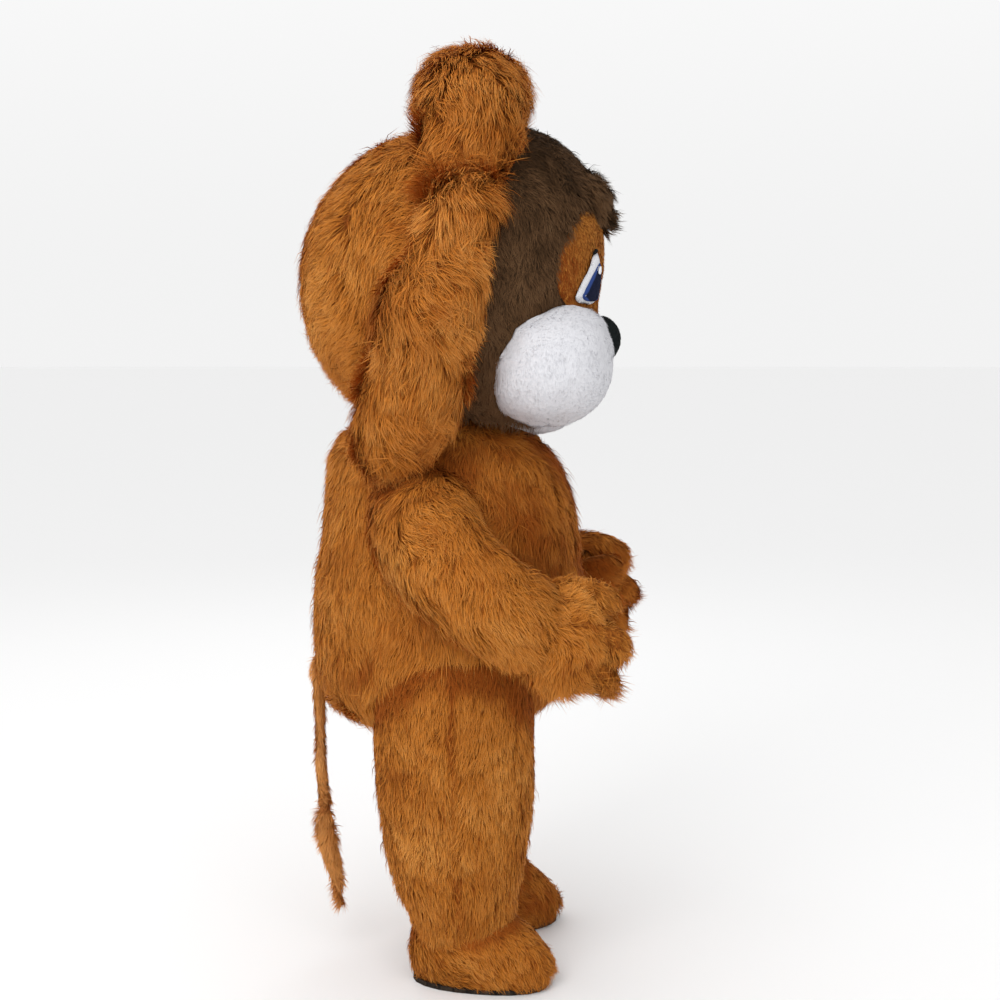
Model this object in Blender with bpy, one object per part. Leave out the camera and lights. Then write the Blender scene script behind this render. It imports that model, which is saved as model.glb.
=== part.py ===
# A lion mascot costume, worn and empty: head with a padded mane, body suit, mitts, foot covers and tail.
# Metres, +Z up, the lion faces +X and its right side is at -Y. Sections are worked out above the floor,
# and the whole is lowered at the end so that the origin lies between the wearer's shoulders.
# Each wall's outer face lies where the fur ends, so its thickness is backing and pile together.

import math

import bpy
import numpy as np
from mathutils import Matrix

HOLD_HEIGHT = 1.180
SEAM_GAP = 0.0003
BODY_WALL = 0.015
HEAD_WALL = 0.028
FOOT_WALL = 0.012
TAU = 2.0 * math.pi

# Head: half sizes from its centre, out to the ends of the fur.
HEAD_CENTRE = (0.0, 0.0, 1.506)
HEAD_BACK = 0.321
HEAD_FRONT = 0.338
HEAD_SIDE = 0.312
HEAD_UP_BACK = 0.332
HEAD_UP_FRONT = 0.350
HEAD_DOWN = 0.330
HEAD_RIM_BACK = 1.244
HEAD_RIM_FRONT = 1.212
EYE_DIP_DEPTH = 0.016
EYE_DIP_HEIGHT = 1.456
EYE_DIP_SPREAD = 0.070

# Face pieces.
MUZZLE_HUB = (0.160, 0.0, 1.351)
MUZZLE_POWER = 2.4
# Columns: x, y, z, half x, half y, half z.
MUZZLE_ROWS = (
    (0.199, 0.140, 1.346, 0.140, 0.178, 0.128),
    (0.199, -0.140, 1.346, 0.140, 0.178, 0.128),
    (0.205, 0.000, 1.341, 0.126, 0.110, 0.110),
)
JAW_CENTRE = (0.172, 0.0, 1.254)
JAW_HALF = (0.112, 0.150, 0.070)
NOSE_CENTRE = (0.325, 0.0, 1.388)
NOSE_HALF = (0.042, 0.060, 0.050)
EYE_Y = 0.146
EYE_Z = 1.480
EYE_HALF_WIDTH = 0.046
EYE_RISE = 0.090
EYE_FALL = 0.018
EYE_PAD = 0.0075
EYE_LEAN = 0.016

# The lash's outline, outward and up from the eye's top.
LASH = (
    (-0.002, 0.0018),
    (0.004, -0.0004),
    (0.0115, -0.0060),
    (0.0150, -0.0036),
    (0.0085, 0.0032),
    (0.0010, 0.0072),
    (-0.0035, 0.0062),
)

# The forelock's outline in y and z: a row of points hangs over the eye zone's top.
FORELOCK_REACH = 0.023
FORELOCK = (
    (0.000, 1.606),
    (0.030, 1.634),
    (0.052, 1.614),
    (0.078, 1.646),
    (0.104, 1.634),
    (0.116, 1.690),
    (0.084, 1.744),
    (0.000, 1.764),
    (-0.084, 1.744),
    (-0.116, 1.690),
    (-0.104, 1.634),
    (-0.078, 1.646),
    (-0.052, 1.614),
    (-0.030, 1.634),
)

# Body suit and feet.
ARM_SHIFT_LEFT = (0.070, 0.0, -0.008)
LEG_CENTRE_Y = 0.146
FOOT_TURN_NEAR = math.radians(10.0)
FOOT_TURN_FAR = math.radians(22.0)
FOOT_SHIFT_FAR = 0.035
FLOOR_HEIGHT = 0.014
SOLE_THICKNESS = 0.010
SOLE_INSET = 0.001

# Sections of the body from the crotch up: height, back, front and half width.
BODY_ROWS = (
    (0.536, 0.000, 0.000, 0.000),
    (0.544, -0.130, 0.095, 0.092),
    (0.564, -0.212, 0.155, 0.152),
    (0.596, -0.262, 0.208, 0.202),
    (0.644, -0.290, 0.250, 0.242),
    (0.706, -0.299, 0.272, 0.268),
    (0.776, -0.300, 0.282, 0.284),
    (0.866, -0.296, 0.286, 0.289),
    (0.956, -0.286, 0.281, 0.286),
    (1.046, -0.270, 0.262, 0.274),
    (1.126, -0.260, 0.234, 0.252),
    (1.181, -0.242, 0.192, 0.220),
    (1.214, -0.208, 0.140, 0.176),
    (1.234, -0.160, 0.100, 0.140),
    (1.261, -0.148, 0.090, 0.128),
)

# Sections of a leg from the hem up: height, centre x, centre y outward, half depth and half width.
LEG_ROWS = (
    (0.128, 0.028, 0.150, 0.106, 0.086),
    (0.165, 0.026, 0.150, 0.116, 0.098),
    (0.205, 0.022, 0.150, 0.133, 0.112),
    (0.290, 0.013, 0.150, 0.152, 0.124),
    (0.390, 0.014, 0.149, 0.167, 0.132),
    (0.490, 0.010, 0.148, 0.173, 0.136),
    (0.590, 0.008, 0.147, 0.178, 0.140),
    (0.664, 0.008, 0.147, 0.180, 0.142),
    (0.718, 0.008, 0.147, 0.174, 0.141),
    (0.752, 0.008, 0.146, 0.162, 0.136),
    (0.792, 0.008, 0.142, 0.136, 0.108),
)

# Middle line of the right sleeve from inside the armhole to the wrist, with its half height and half width.
SLEEVE_ROWS = (
    (-0.056, 0.135, 1.044, 0.098, 0.100),
    (-0.050, 0.205, 1.032, 0.120, 0.114),
    (-0.040, 0.270, 1.010, 0.123, 0.114),
    (-0.012, 0.332, 0.972, 0.116, 0.104),
    (0.050, 0.388, 0.920, 0.104, 0.094),
    (0.120, 0.392, 0.874, 0.099, 0.089),
    (0.168, 0.373, 0.847, 0.093, 0.072),
)

# Mitt: palm centre from the wrist, its half sizes, and each digit's root, tip and radii.
PALM_CENTRE = (0.227, 0.348, 0.812)
PALM_HALF = (0.085, 0.076, 0.117)
WRIST_AXIS = (-0.82, 0.33, 0.46)
WRIST_LENGTH = 0.130
WRIST_RADIUS = 0.050
DIGIT_WALL = 0.012
# Columns: root, tip, root radius, tip radius.
DIGIT_ROWS = (
    ((0.250, 0.345, 0.892), (0.309, 0.320, 0.878), 0.0420, 0.040),
    ((0.249, 0.352, 0.822), (0.329, 0.332, 0.795), 0.0440, 0.041),
    ((0.240, 0.350, 0.752), (0.308, 0.332, 0.729), 0.0430, 0.040),
    ((0.208, 0.292, 0.836), (0.286, 0.238, 0.862), 0.0320, 0.036),
)

# Sections of a foot cover: height, heel, toe and half width.
FOOT_ROWS = (
    (0.0243, -0.082, 0.216, 0.080),
    (0.040, -0.089, 0.230, 0.089),
    (0.070, -0.092, 0.226, 0.092),
    (0.110, -0.090, 0.196, 0.089),
    (0.146, -0.082, 0.160, 0.080),
    (0.173, -0.065, 0.127, 0.067),
    (0.190, -0.048, 0.104, 0.056),
)

# Middle line of the tail from the body down, and its radius.
TAIL_ROWS = (
    (-0.246, 0.736, 0.024),
    (-0.279, 0.701, 0.023),
    (-0.291, 0.636, 0.019),
    (-0.291, 0.536, 0.016),
    (-0.290, 0.436, 0.017),
    (-0.284, 0.350, 0.018),
)

# The tuft's first rows run on in line with the tail's end.
TUFT_ROWS = (
    (-0.28398, 0.34965, 0.018),
    (-0.28120, 0.31130, 0.025),
    (-0.27600, 0.26100, 0.027),
    (-0.26400, 0.21100, 0.024),
    (-0.25400, 0.16100, 0.015),
    (-0.24700, 0.11600, 0.004),
)

# Mane roll from the crown down the side: angle from the crown, middle x, reach from the head's middle,
# half width along x, and half thickness outward.
MANE_ROWS = (
    (0.0, 0.050, 0.392, 0.121, 0.106),
    (14.0, 0.050, 0.390, 0.118, 0.104),
    (28.0, 0.048, 0.372, 0.108, 0.090),
    (39.0, 0.047, 0.352, 0.104, 0.076),
    (48.0, 0.044, 0.342, 0.088, 0.066),
    (55.0, 0.042, 0.338, 0.070, 0.056),
    (66.0, 0.028, 0.336, 0.082, 0.070),
    (78.0, 0.012, 0.333, 0.080, 0.062),
    (90.0, -0.020, 0.336, 0.106, 0.076),
    (104.0, -0.034, 0.342, 0.108, 0.078),
    (114.0, -0.050, 0.346, 0.098, 0.064),
    (124.0, -0.064, 0.366, 0.112, 0.078),
    (134.0, -0.086, 0.402, 0.104, 0.074),
    (141.0, -0.104, 0.440, 0.080, 0.058),
    (146.0, -0.114, 0.468, 0.030, 0.024),
)
CROWN_END = 55.0

# Soft folds: which form, middle x, y and z, direction of the fold, half length, half width and depth.
FOLD_ROWS = (
    ("body", -0.130, -0.245, 0.906, 0.70, 0.00, -0.72, 0.120, 0.022, 0.010),
    ("body", -0.120, 0.250, 0.916, 0.66, 0.00, -0.75, 0.110, 0.024, 0.009),
    ("body", -0.020, -0.280, 0.836, 0.85, 0.00, -0.52, 0.090, 0.020, 0.008),
    ("body", -0.285, 0.020, 0.966, 0.00, 1.00, 0.10, 0.170, 0.024, 0.007),
    ("body", 0.265, -0.030, 0.736, 0.00, 1.00, -0.06, 0.160, 0.022, 0.006),
    ("leg", -0.120, 0.230, 0.276, 0.90, 0.40, 0.20, 0.100, 0.020, 0.007),
    ("leg", 0.140, 0.200, 0.231, -0.50, 0.80, 0.10, 0.110, 0.020, 0.007),
    ("leg", 0.060, 0.280, 0.406, 0.95, 0.00, 0.20, 0.100, 0.024, 0.006),
    ("leg", -0.130, 0.090, 0.496, 0.50, 0.90, 0.15, 0.110, 0.024, 0.006),
    ("sleeve", 0.000, 0.420, 0.906, 0.50, 0.00, 0.80, 0.090, 0.018, 0.007),
    ("sleeve", 0.090, 0.460, 0.891, 0.50, 0.00, 0.84, 0.080, 0.016, 0.006),
)

GINGER = (0.300, 0.098, 0.020, 1.0)
GINGER_MANE = (0.275, 0.086, 0.018, 1.0)
BROWN = (0.064, 0.030, 0.011, 1.0)
ORANGE = (0.300, 0.100, 0.022, 1.0)
WHITE = (0.740, 0.735, 0.750, 1.0)
BLACK = (0.009, 0.011, 0.012, 1.0)
NAVY = (0.012, 0.016, 0.045, 1.0)
SOLE_BLACK = (0.020, 0.016, 0.014, 1.0)


def clear_scene():
    """Empties the scene of its starting objects."""
    for old in list(bpy.data.objects):
        bpy.data.objects.remove(old, do_unlink=True)


def new_collection(name):
    """Makes a collection under the scene's own."""
    made = bpy.data.collections.new(name)
    bpy.context.scene.collection.children.link(made)
    return made


def new_material(name, colour, roughness):
    """Makes a plain Principled material."""
    made = bpy.data.materials.new(name)
    made.use_nodes = True
    shader = made.node_tree.nodes["Principled BSDF"]
    shader.inputs["Base Color"].default_value = colour
    shader.inputs["Roughness"].default_value = roughness
    shader.inputs["Metallic"].default_value = 0.0
    return made


def along(rows, t):
    """Reads a table of numbers smoothly at t, from 0 at its first row to 1 at its last."""
    table = np.array(rows, dtype=float)
    step = np.linalg.norm(np.diff(table[:, :3], axis=0), axis=1)
    knots = np.concatenate([[0.0], np.cumsum(step)])
    knots = knots / knots[-1]
    slopes = np.gradient(table, knots, axis=0)
    t = np.clip(np.asarray(t, dtype=float), 0.0, 1.0)
    i = np.clip(np.searchsorted(knots, t, side="right") - 1, 0, len(knots) - 2)
    span = (knots[i + 1] - knots[i])[..., None]
    s = ((t - knots[i])[..., None]) / span
    h00 = 2 * s**3 - 3 * s**2 + 1
    h10 = s**3 - 2 * s**2 + s
    h01 = -2 * s**3 + 3 * s**2
    h11 = s**3 - s**2
    return h00 * table[i] + h10 * span * slopes[i] + h01 * table[i + 1] + h11 * span * slopes[i + 1]


def rounded(angle, power):
    """Gives the cosine and sine of a squared-off circle."""
    c, s = np.cos(angle), np.sin(angle)
    r = (np.abs(c) ** power + np.abs(s) ** power) ** (-1.0 / power)
    return c * r, s * r


def fold_depth(points, form, mirrored):
    """Adds up how deep the soft folds of a form are at some points."""
    depth = np.zeros(points.shape[:-1])
    for name, x, y, z, dx, dy, dz, half_length, half_width, deep in FOLD_ROWS:
        if name != form:
            continue
        middle = np.array([x, y, z])
        line = np.array([dx, dy, dz])
        line = line / np.linalg.norm(line)
        probe = points * np.array([1.0, mirrored, 1.0])
        off = probe - middle
        run = off @ line
        side = np.linalg.norm(off - run[..., None] * line, axis=-1)
        depth += deep * np.exp(-((run / half_length) ** 4)) * np.exp(-((side / half_width) ** 2))
    return depth


def normals_of(surface, u, v):
    """Finds the outward normals of a surface by small steps."""
    e = 1e-4
    du = surface(u + e, v) - surface(u - e, v)
    dv = surface(u, np.minimum(v + e, 1.0)) - surface(u, np.maximum(v - e, 0.0))
    n = np.cross(du, dv)
    size = np.linalg.norm(n, axis=-1, keepdims=True)
    return n / np.maximum(size, 1e-12)


def with_folds(surface, form, mirrored=1.0):
    """Lets the soft folds of a form into its surface."""

    def folded(u, v):
        points = surface(u, v)
        n = normals_of(surface, u, v)
        return points - n * fold_depth(points, form, mirrored)[..., None]

    return folded


def grid(surface, u, v, offset, pole=None):
    """Gives a surface's points moved out along its normals, one row for each v."""
    uu, vv = np.meshgrid(u, v)
    points = surface(uu, vv) + normals_of(surface, uu, vv) * offset
    if pole == "start":
        points[0] = surface(uu[:1], vv[:1])[0].mean(axis=0) + np.array([0.0, 0.0, -offset])
    if pole == "end":
        points[-1] = surface(uu[-1:], vv[-1:])[0].mean(axis=0) + np.array([0.0, 0.0, offset])
    return points


def faces_of(rows, columns, round_it, base, flip):
    """Gives the faces of a grid of points, each four split the same way."""
    faces = []
    last = columns if round_it else columns - 1
    for i in range(rows - 1):
        for j in range(last):
            k = (j + 1) % columns
            a, b = base + i * columns + j, base + i * columns + k
            c, d = base + (i + 1) * columns + k, base + (i + 1) * columns + j
            for three in ([a, b, c], [a, c, d]):
                faces.append(three[::-1] if flip else three)
    return faces


def rim_faces(outer, inner, closed, flip):
    """Joins an outer and an inner line of points with a strip."""
    faces = []
    count = len(outer)
    for i in range(count if closed else count - 1):
        j = (i + 1) % count
        quad = [outer[i], outer[j], inner[j], inner[i]]
        faces.append(quad[::-1] if flip else quad)
    return faces


def to_object(name, points, faces, collection, material, smooth=True):
    """Makes a mesh object, with points that lie together made one."""
    keep = {}
    index = []
    kept = []
    for p in points:
        key = (round(float(p[0]), 7), round(float(p[1]), 7), round(float(p[2]), 7))
        if key not in keep:
            keep[key] = len(kept)
            kept.append(key)
        index.append(keep[key])
    clean = []
    for face in faces:
        ring = []
        for corner in face:
            if not ring or index[corner] != ring[-1]:
                ring.append(index[corner])
        if len(ring) > 1 and ring[0] == ring[-1]:
            ring.pop()
        if len(ring) > 2:
            clean.append(ring)
    mesh = bpy.data.meshes.new(name)
    mesh.from_pydata(kept, [], clean)
    mesh.update()
    if smooth:
        mesh.shade_smooth()
    made = bpy.data.objects.new(name, mesh)
    collection.objects.link(made)
    if material:
        mesh.materials.append(material)
    return made


def wall(name, surface, u, v, thickness, collection, material, round_it=True, pole=None, shift=0.0):
    """Makes a hollow wall: an outer and an inner face, closed along its edges."""
    outer = grid(surface, u, v, 0.0, pole)
    inner = grid(surface, u, v, -thickness, pole)
    if not round_it:
        inner[:, 0, 0] = outer[:, 0, 0]
        inner[:, -1, 0] = outer[:, -1, 0]
    rows, columns = outer.shape[:2]
    points = np.concatenate([outer.reshape(-1, 3), inner.reshape(-1, 3)])
    points[:, 0] += shift
    second = rows * columns
    faces = faces_of(rows, columns, round_it, 0, False)
    faces += faces_of(rows, columns, round_it, second, True)
    first_row = list(range(columns))
    last_row = [(rows - 1) * columns + j for j in range(columns)]
    if pole != "start":
        faces += rim_faces(first_row, [second + i for i in first_row], round_it, True)
    if pole != "end":
        faces += rim_faces(last_row, [second + i for i in last_row], round_it, False)
    if not round_it:
        left = [i * columns for i in range(rows)]
        right = [i * columns + columns - 1 for i in range(rows)]
        faces += rim_faces(left, [second + i for i in left], False, False)
        faces += rim_faces(right, [second + i for i in right], False, True)
    return to_object(name, points, faces, collection, material)


def solid(name, surface, u, v, offset, collection, material, poles=("start", "end")):
    """Makes a filled form from a round surface, its open ends closed with a fan."""
    pole = poles[0] if len(poles) == 1 else None
    points = grid(surface, u, v, offset, pole)
    if len(poles) == 2:
        uu, vv = np.meshgrid(u, v)
        points[0] = surface(uu, vv)[0].mean(axis=0)
        points[-1] = surface(uu, vv)[-1].mean(axis=0)
        drop = points[-1] - points[0]
        drop = drop / np.linalg.norm(drop[0])
        points[0] -= drop * offset
        points[-1] += drop * offset
    rows, columns = points.shape[:2]
    flat = [p for p in points.reshape(-1, 3)]
    faces = faces_of(rows, columns, True, 0, False)
    if "start" not in poles:
        flat.append(points[0].mean(axis=0))
        hub = len(flat) - 1
        faces += [[hub, (j + 1) % columns, j] for j in range(columns)]
    if "end" not in poles:
        flat.append(points[-1].mean(axis=0))
        hub = len(flat) - 1
        base = (rows - 1) * columns
        faces += [[hub, base + j, base + (j + 1) % columns] for j in range(columns)]
    return to_object(name, flat, faces, collection, material)


def turn(count):
    """Gives evenly spaced angles round a circle."""
    return np.linspace(0.0, TAU, count, endpoint=False)


def halves(front_count, back_count):
    """Gives the angles of a front panel, of a back panel, and of both together."""
    front = np.linspace(-math.pi / 2.0, math.pi / 2.0, front_count)
    back = np.linspace(math.pi / 2.0, 1.5 * math.pi, back_count)
    return front, back, np.concatenate([front, back[1:-1]])


def cut(target, tool, operation="DIFFERENCE"):
    """Cuts or joins one solid with another, exactly."""
    step = target.modifiers.new(tool.name, "BOOLEAN")
    step.operation = operation
    step.solver = "EXACT"
    step.object = tool
    return step


def joined(name, parts, collection, material=None):
    """Joins several meshes that don't meet into one object."""
    points = []
    faces = []
    for part in parts:
        base = len(points)
        points += [tuple(v.co) for v in part.data.vertices]
        faces += [[base + i for i in f.vertices] for f in part.data.polygons]
    for part in parts:
        bpy.data.objects.remove(part, do_unlink=True)
    return to_object(name, points, faces, collection, material)


def body_surface(u, v):
    """The body suit's trunk: u turns from the front to the left, v rises from the crotch."""
    row = along(BODY_ROWS, v)
    c, s = rounded(u, 2.15)
    x = np.where(c >= 0.0, c * row[..., 2], -c * row[..., 1])
    return np.stack([x, s * row[..., 3], row[..., 0]], axis=-1)


def leg_surface(side):
    """One leg, hem to hip: side is -1 for the right and 1 for the left."""

    def surface(u, v):
        row = along(LEG_ROWS, v)
        c, s = rounded(u, 2.2)
        x = row[..., 1] + c * row[..., 3]
        y = side * row[..., 2] + s * row[..., 4]
        return np.stack([x, y, row[..., 0]], axis=-1)

    return with_folds(surface, "leg", side)


def tube_surface(centres, half_high, half_wide, power=2.1):
    """A tube round a line given by functions of v, upright sections square to the line."""

    def surface(u, v):
        e = 1e-3
        middle = centres(v)
        ahead = centres(np.minimum(v + e, 1.0)) - centres(np.maximum(v - e, 0.0))
        ahead = ahead / np.linalg.norm(ahead, axis=-1, keepdims=True)
        up = np.zeros_like(ahead)
        up[..., 2] = 1.0
        side = np.cross(ahead, up)
        side = side / np.maximum(np.linalg.norm(side, axis=-1, keepdims=True), 1e-9)
        rise = np.cross(side, ahead)
        c, s = rounded(u, power)
        return middle + side * (c * half_wide(v))[..., None] + rise * (s * half_high(v))[..., None]

    return surface


def sleeve_surface(side):
    """One sleeve, armhole to wrist."""
    shift = np.array(ARM_SHIFT_LEFT if side > 0 else (0.0, 0.0, 0.0))

    def centres(v):
        row = along(SLEEVE_ROWS, v)
        lead = shift * np.clip((row[..., 0] + 0.06) / 0.23, 0.0, 1.0)[..., None]
        return np.stack([row[..., 0], side * row[..., 1], row[..., 2]], axis=-1) + lead

    def high(v):
        return along(SLEEVE_ROWS, v)[..., 3]

    def wide(v):
        return along(SLEEVE_ROWS, v)[..., 4]

    plain = tube_surface(centres, high, wide)

    def surface(u, v):
        return plain(-u, v)

    return with_folds(surface, "sleeve", side)


def ball(name, centre, half, offset, collection, material, columns=16, rows=9, power=2.0):
    """Makes a filled rounded form."""
    mid = np.array(centre)
    size = np.array(half) + offset
    u = turn(columns)
    v = np.linspace(0.0, 1.0, rows)

    def surface(uu, vv):
        c, s = rounded(uu, power)
        tilt = math.pi * (vv - 0.5)
        out = np.stack([np.cos(tilt) * c, np.cos(tilt) * s, np.sin(tilt)], axis=-1)
        return mid + out * size

    return solid(name, surface, u, v, 0.0, collection, material)


def capsule(name, root, tip, root_radius, tip_radius, collection, material, columns=8):
    """Makes a digit: a tapering rod with round ends."""
    a = np.array(root)
    b = np.array(tip)
    ahead = (b - a) / np.linalg.norm(b - a)
    up = np.array([0.0, 0.0, 1.0])
    side = np.cross(up, ahead)
    side = side / np.linalg.norm(side)
    rise = np.cross(ahead, side)
    rings = []
    for tilt in (-90, -50, -10):
        t = math.radians(tilt)
        rings.append((a + ahead * root_radius * math.sin(t), root_radius * math.cos(t)))
    for tilt in (10, 40, 66, 90):
        t = math.radians(tilt)
        rings.append((b + ahead * tip_radius * math.sin(t), tip_radius * math.cos(t)))
    points = []
    for centre, radius in rings:
        for angle in turn(columns):
            points.append(centre + (side * math.cos(angle) + rise * math.sin(angle)) * max(radius, 0.0))
    faces = faces_of(len(rings), columns, True, 0, False)
    return to_object(name, points, faces, collection, material)


def head_reach(direction):
    """How far the head's outer face lies from its centre, along some directions."""
    dx, dy, dz = direction[..., 0], direction[..., 1], direction[..., 2]
    s = np.clip((dx + 0.2) / 0.8, 0.0, 1.0)
    blend = s * s * (3.0 - 2.0 * s)
    power = 2.0 + 0.80 * blend
    rise = HEAD_UP_BACK + (HEAD_UP_FRONT - HEAD_UP_BACK) * blend
    round_power = 2.05
    along_x = np.abs(dx) / np.where(dx >= 0.0, HEAD_FRONT, HEAD_BACK)
    level = (along_x**round_power + (np.abs(dy) / HEAD_SIDE) ** round_power) ** (power / round_power)
    upright = (np.abs(dz) / np.where(dz >= 0.0, rise, HEAD_DOWN)) ** power
    reach = (level + upright) ** (-1.0 / power)
    height = HEAD_CENTRE[2] + dz * reach
    front = np.clip(dx, 0.0, 1.0) ** 3
    dip = EYE_DIP_DEPTH * front * np.exp(-(((height - EYE_DIP_HEIGHT) / EYE_DIP_SPREAD) ** 2))
    return reach - dip


def rim_tilt(u):
    """How far down the head's surface runs before the neck's rim, at each turn."""
    tilts = np.radians(np.linspace(-30.0, -85.0, 300))
    want = 0.5 * (HEAD_RIM_BACK + HEAD_RIM_FRONT) - 0.5 * (HEAD_RIM_BACK - HEAD_RIM_FRONT) * np.cos(u)
    flat = u.reshape(-1)
    found = np.zeros_like(flat)
    for i, angle in enumerate(flat):
        level = np.cos(tilts)
        d = np.stack([level * math.cos(angle), level * math.sin(angle), np.sin(tilts)], axis=-1)
        height = HEAD_CENTRE[2] + d[:, 2] * head_reach(d)
        found[i] = np.interp(-want.reshape(-1)[i], -height, tilts)
    return found.reshape(u.shape)


def head_surface(u, v):
    """The head: u turns from the front to the left, v rises from the neck's rim to the crown."""
    low = rim_tilt(u)
    tilt = low + (math.pi / 2.0 - low) * v
    d = np.stack([np.cos(tilt) * np.cos(u), np.cos(tilt) * np.sin(u), np.sin(tilt)], axis=-1)
    return np.array(HEAD_CENTRE) + d * head_reach(d)[..., None]


def face_x(y, z):
    """Where the face's outer surface is, in front of a point given by its y and z."""
    low = np.full(np.shape(y), 0.05)
    high = np.full(np.shape(y), 0.45)
    for _ in range(40):
        mid = 0.5 * (low + high)
        p = np.stack([mid, y, z - HEAD_CENTRE[2]], axis=-1)
        size = np.linalg.norm(p, axis=-1)
        inside = size < head_reach(p / size[..., None])
        low = np.where(inside, mid, low)
        high = np.where(inside, high, mid)
    return 0.5 * (low + high)


def face_pad(name, outline, low, high, collection, material, rings=3, rim=0.25):
    """Makes a thin piece that lies on the face, from its outline in y and z, crowned to its middle."""
    edge = np.array(outline)
    centre = edge.mean(axis=0)
    count = len(edge)
    shares = [i / rings for i in range(1, rings + 1)]
    spots = [centre] + [centre + (p - centre) * s for s in shares for p in edge]
    lifts = [1.0] + [1.0 - (1.0 - rim) * s**6 for s in shares for _ in edge]
    spots = np.array(spots)
    x = face_x(spots[:, 0], spots[:, 1])
    e = 1e-4
    slope_y = (face_x(spots[:, 0] + e, spots[:, 1]) - face_x(spots[:, 0] - e, spots[:, 1])) / (2 * e)
    slope_z = (face_x(spots[:, 0], spots[:, 1] + e) - face_x(spots[:, 0], spots[:, 1] - e)) / (2 * e)
    n = np.stack([np.ones_like(x), -slope_y, -slope_z], axis=-1)
    n = n / np.linalg.norm(n, axis=-1, keepdims=True)
    base = np.stack([x, spots[:, 0], spots[:, 1]], axis=-1)
    front = base + n * (low + (high - low) * np.array(lifts))[:, None]
    back = base + n * low
    points = np.concatenate([front, back])
    second = len(front)
    faces = []
    for j in range(count):
        k = (j + 1) % count
        faces.append([0, 1 + j, 1 + k])
        faces.append([second, second + 1 + k, second + 1 + j])
        for r in range(rings - 1):
            a = 1 + r * count
            b = a + count
            faces += [[a + j, b + j, b + k], [a + j, b + k, a + k]]
            c, d = second + a, second + b
            faces += [[d + k, d + j, c + j], [c + k, d + k, c + j]]
        last = 1 + (rings - 1) * count
        faces.append([last + j, second + last + j, second + last + k, last + k])
    return to_object(name, points, faces, collection, material)


def teardrop(y, z, half_width, rise, fall, count, lean):
    """The outline of an eye in y and z: round below its widest line, and pointed and leaning above it."""
    out = []
    for i in range(count):
        c = math.cos(TAU * i / count)
        t = math.sin(TAU * i / count)
        power = 1.5 if t >= 0.0 else 0.8
        reach = rise if t >= 0.0 else fall
        up = abs(t) ** power
        side = half_width * math.copysign(abs(c) ** power, c)
        if t >= 0.0:
            side -= lean * up
        out.append((y + side, z + math.copysign(reach * up, t)))
    return out


def muzzle_surface(u, v):
    """Two rounded lobes and the bridge between them seen as one form, with a crease on each side."""
    tilt = math.pi * (v - 0.5)
    d = np.stack([np.cos(tilt) * np.cos(u), np.cos(tilt) * np.sin(u), np.sin(tilt)], axis=-1)
    hub = np.array(MUZZLE_HUB)
    best = np.zeros(u.shape)
    for row in MUZZLE_ROWS:
        middle, half = np.array(row[:3]), np.array(row[3:])
        low, high = np.zeros(u.shape), np.full(u.shape, 0.6)
        for _ in range(26):
            reach = 0.5 * (low + high)
            q = np.abs((hub + d * reach[..., None] - middle) / half) ** MUZZLE_POWER
            inside = q.sum(axis=-1) < 1.0
            low = np.where(inside, reach, low)
            high = np.where(inside, high, reach)
        best = np.maximum(best, low)
    return hub + d * best[..., None]


def mane_surface(first, last, side):
    """A stretch of the mane's roll between two angles from the crown."""
    table = np.array(MANE_ROWS)

    def smooth_row(angle):
        knots = table[:, 0]
        slopes = np.gradient(table, knots, axis=0)
        i = np.clip(np.searchsorted(knots, angle, side="right") - 1, 0, len(knots) - 2)
        span = (knots[i + 1] - knots[i])[..., None]
        s = (angle - knots[i])[..., None] / span
        out = (2 * s**3 - 3 * s**2 + 1) * table[i] + (s**3 - 2 * s**2 + s) * span * slopes[i]
        return out + (-2 * s**3 + 3 * s**2) * table[i + 1] + (s**3 - s**2) * span * slopes[i + 1]

    def surface(u, v):
        angle = first + (last - first) * v
        row = smooth_row(np.abs(angle))
        turned = np.radians(angle) * side
        out = np.stack([np.zeros_like(turned), np.sin(turned), np.cos(turned)], axis=-1)
        middle = np.stack([row[..., 1], out[..., 1] * row[..., 2], out[..., 2] * row[..., 2]], axis=-1)
        middle = middle + np.array([0.0, 0.0, HEAD_CENTRE[2]])
        c, s = rounded(-side * u, 2.2)
        ahead = np.zeros_like(middle)
        ahead[..., 0] = 1.0
        spread = ahead * (c * row[..., 3])[..., None] + out * (s * row[..., 4])[..., None]
        return middle + spread

    return surface


def foot_rows(turned, shift):
    """A foot cover's surface: u turns from the toe outward, v rises from the sole to the ankle."""

    def surface(u, v):
        row = along(FOOT_ROWS, v)
        c, s = rounded(u, 2.5)
        mid = 0.5 * (row[..., 1] + row[..., 2])
        half = 0.5 * (row[..., 2] - row[..., 1])
        x = mid + c * half
        taper = 1.0 - 0.10 * np.clip(-c, 0.0, 1.0) ** 2
        y = s * row[..., 3] * taper
        return np.stack([x, y, row[..., 0]], axis=-1)

    def placed(u, v):
        p = surface(u, v)
        ca, sa = math.cos(turned), math.sin(turned)
        pivot = 0.02
        x = pivot + (p[..., 0] - pivot) * ca - p[..., 1] * sa
        y = (p[..., 0] - pivot) * sa + p[..., 1] * ca
        return np.stack([x + shift[0], y + shift[1], p[..., 2]], axis=-1)

    return placed


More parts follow.
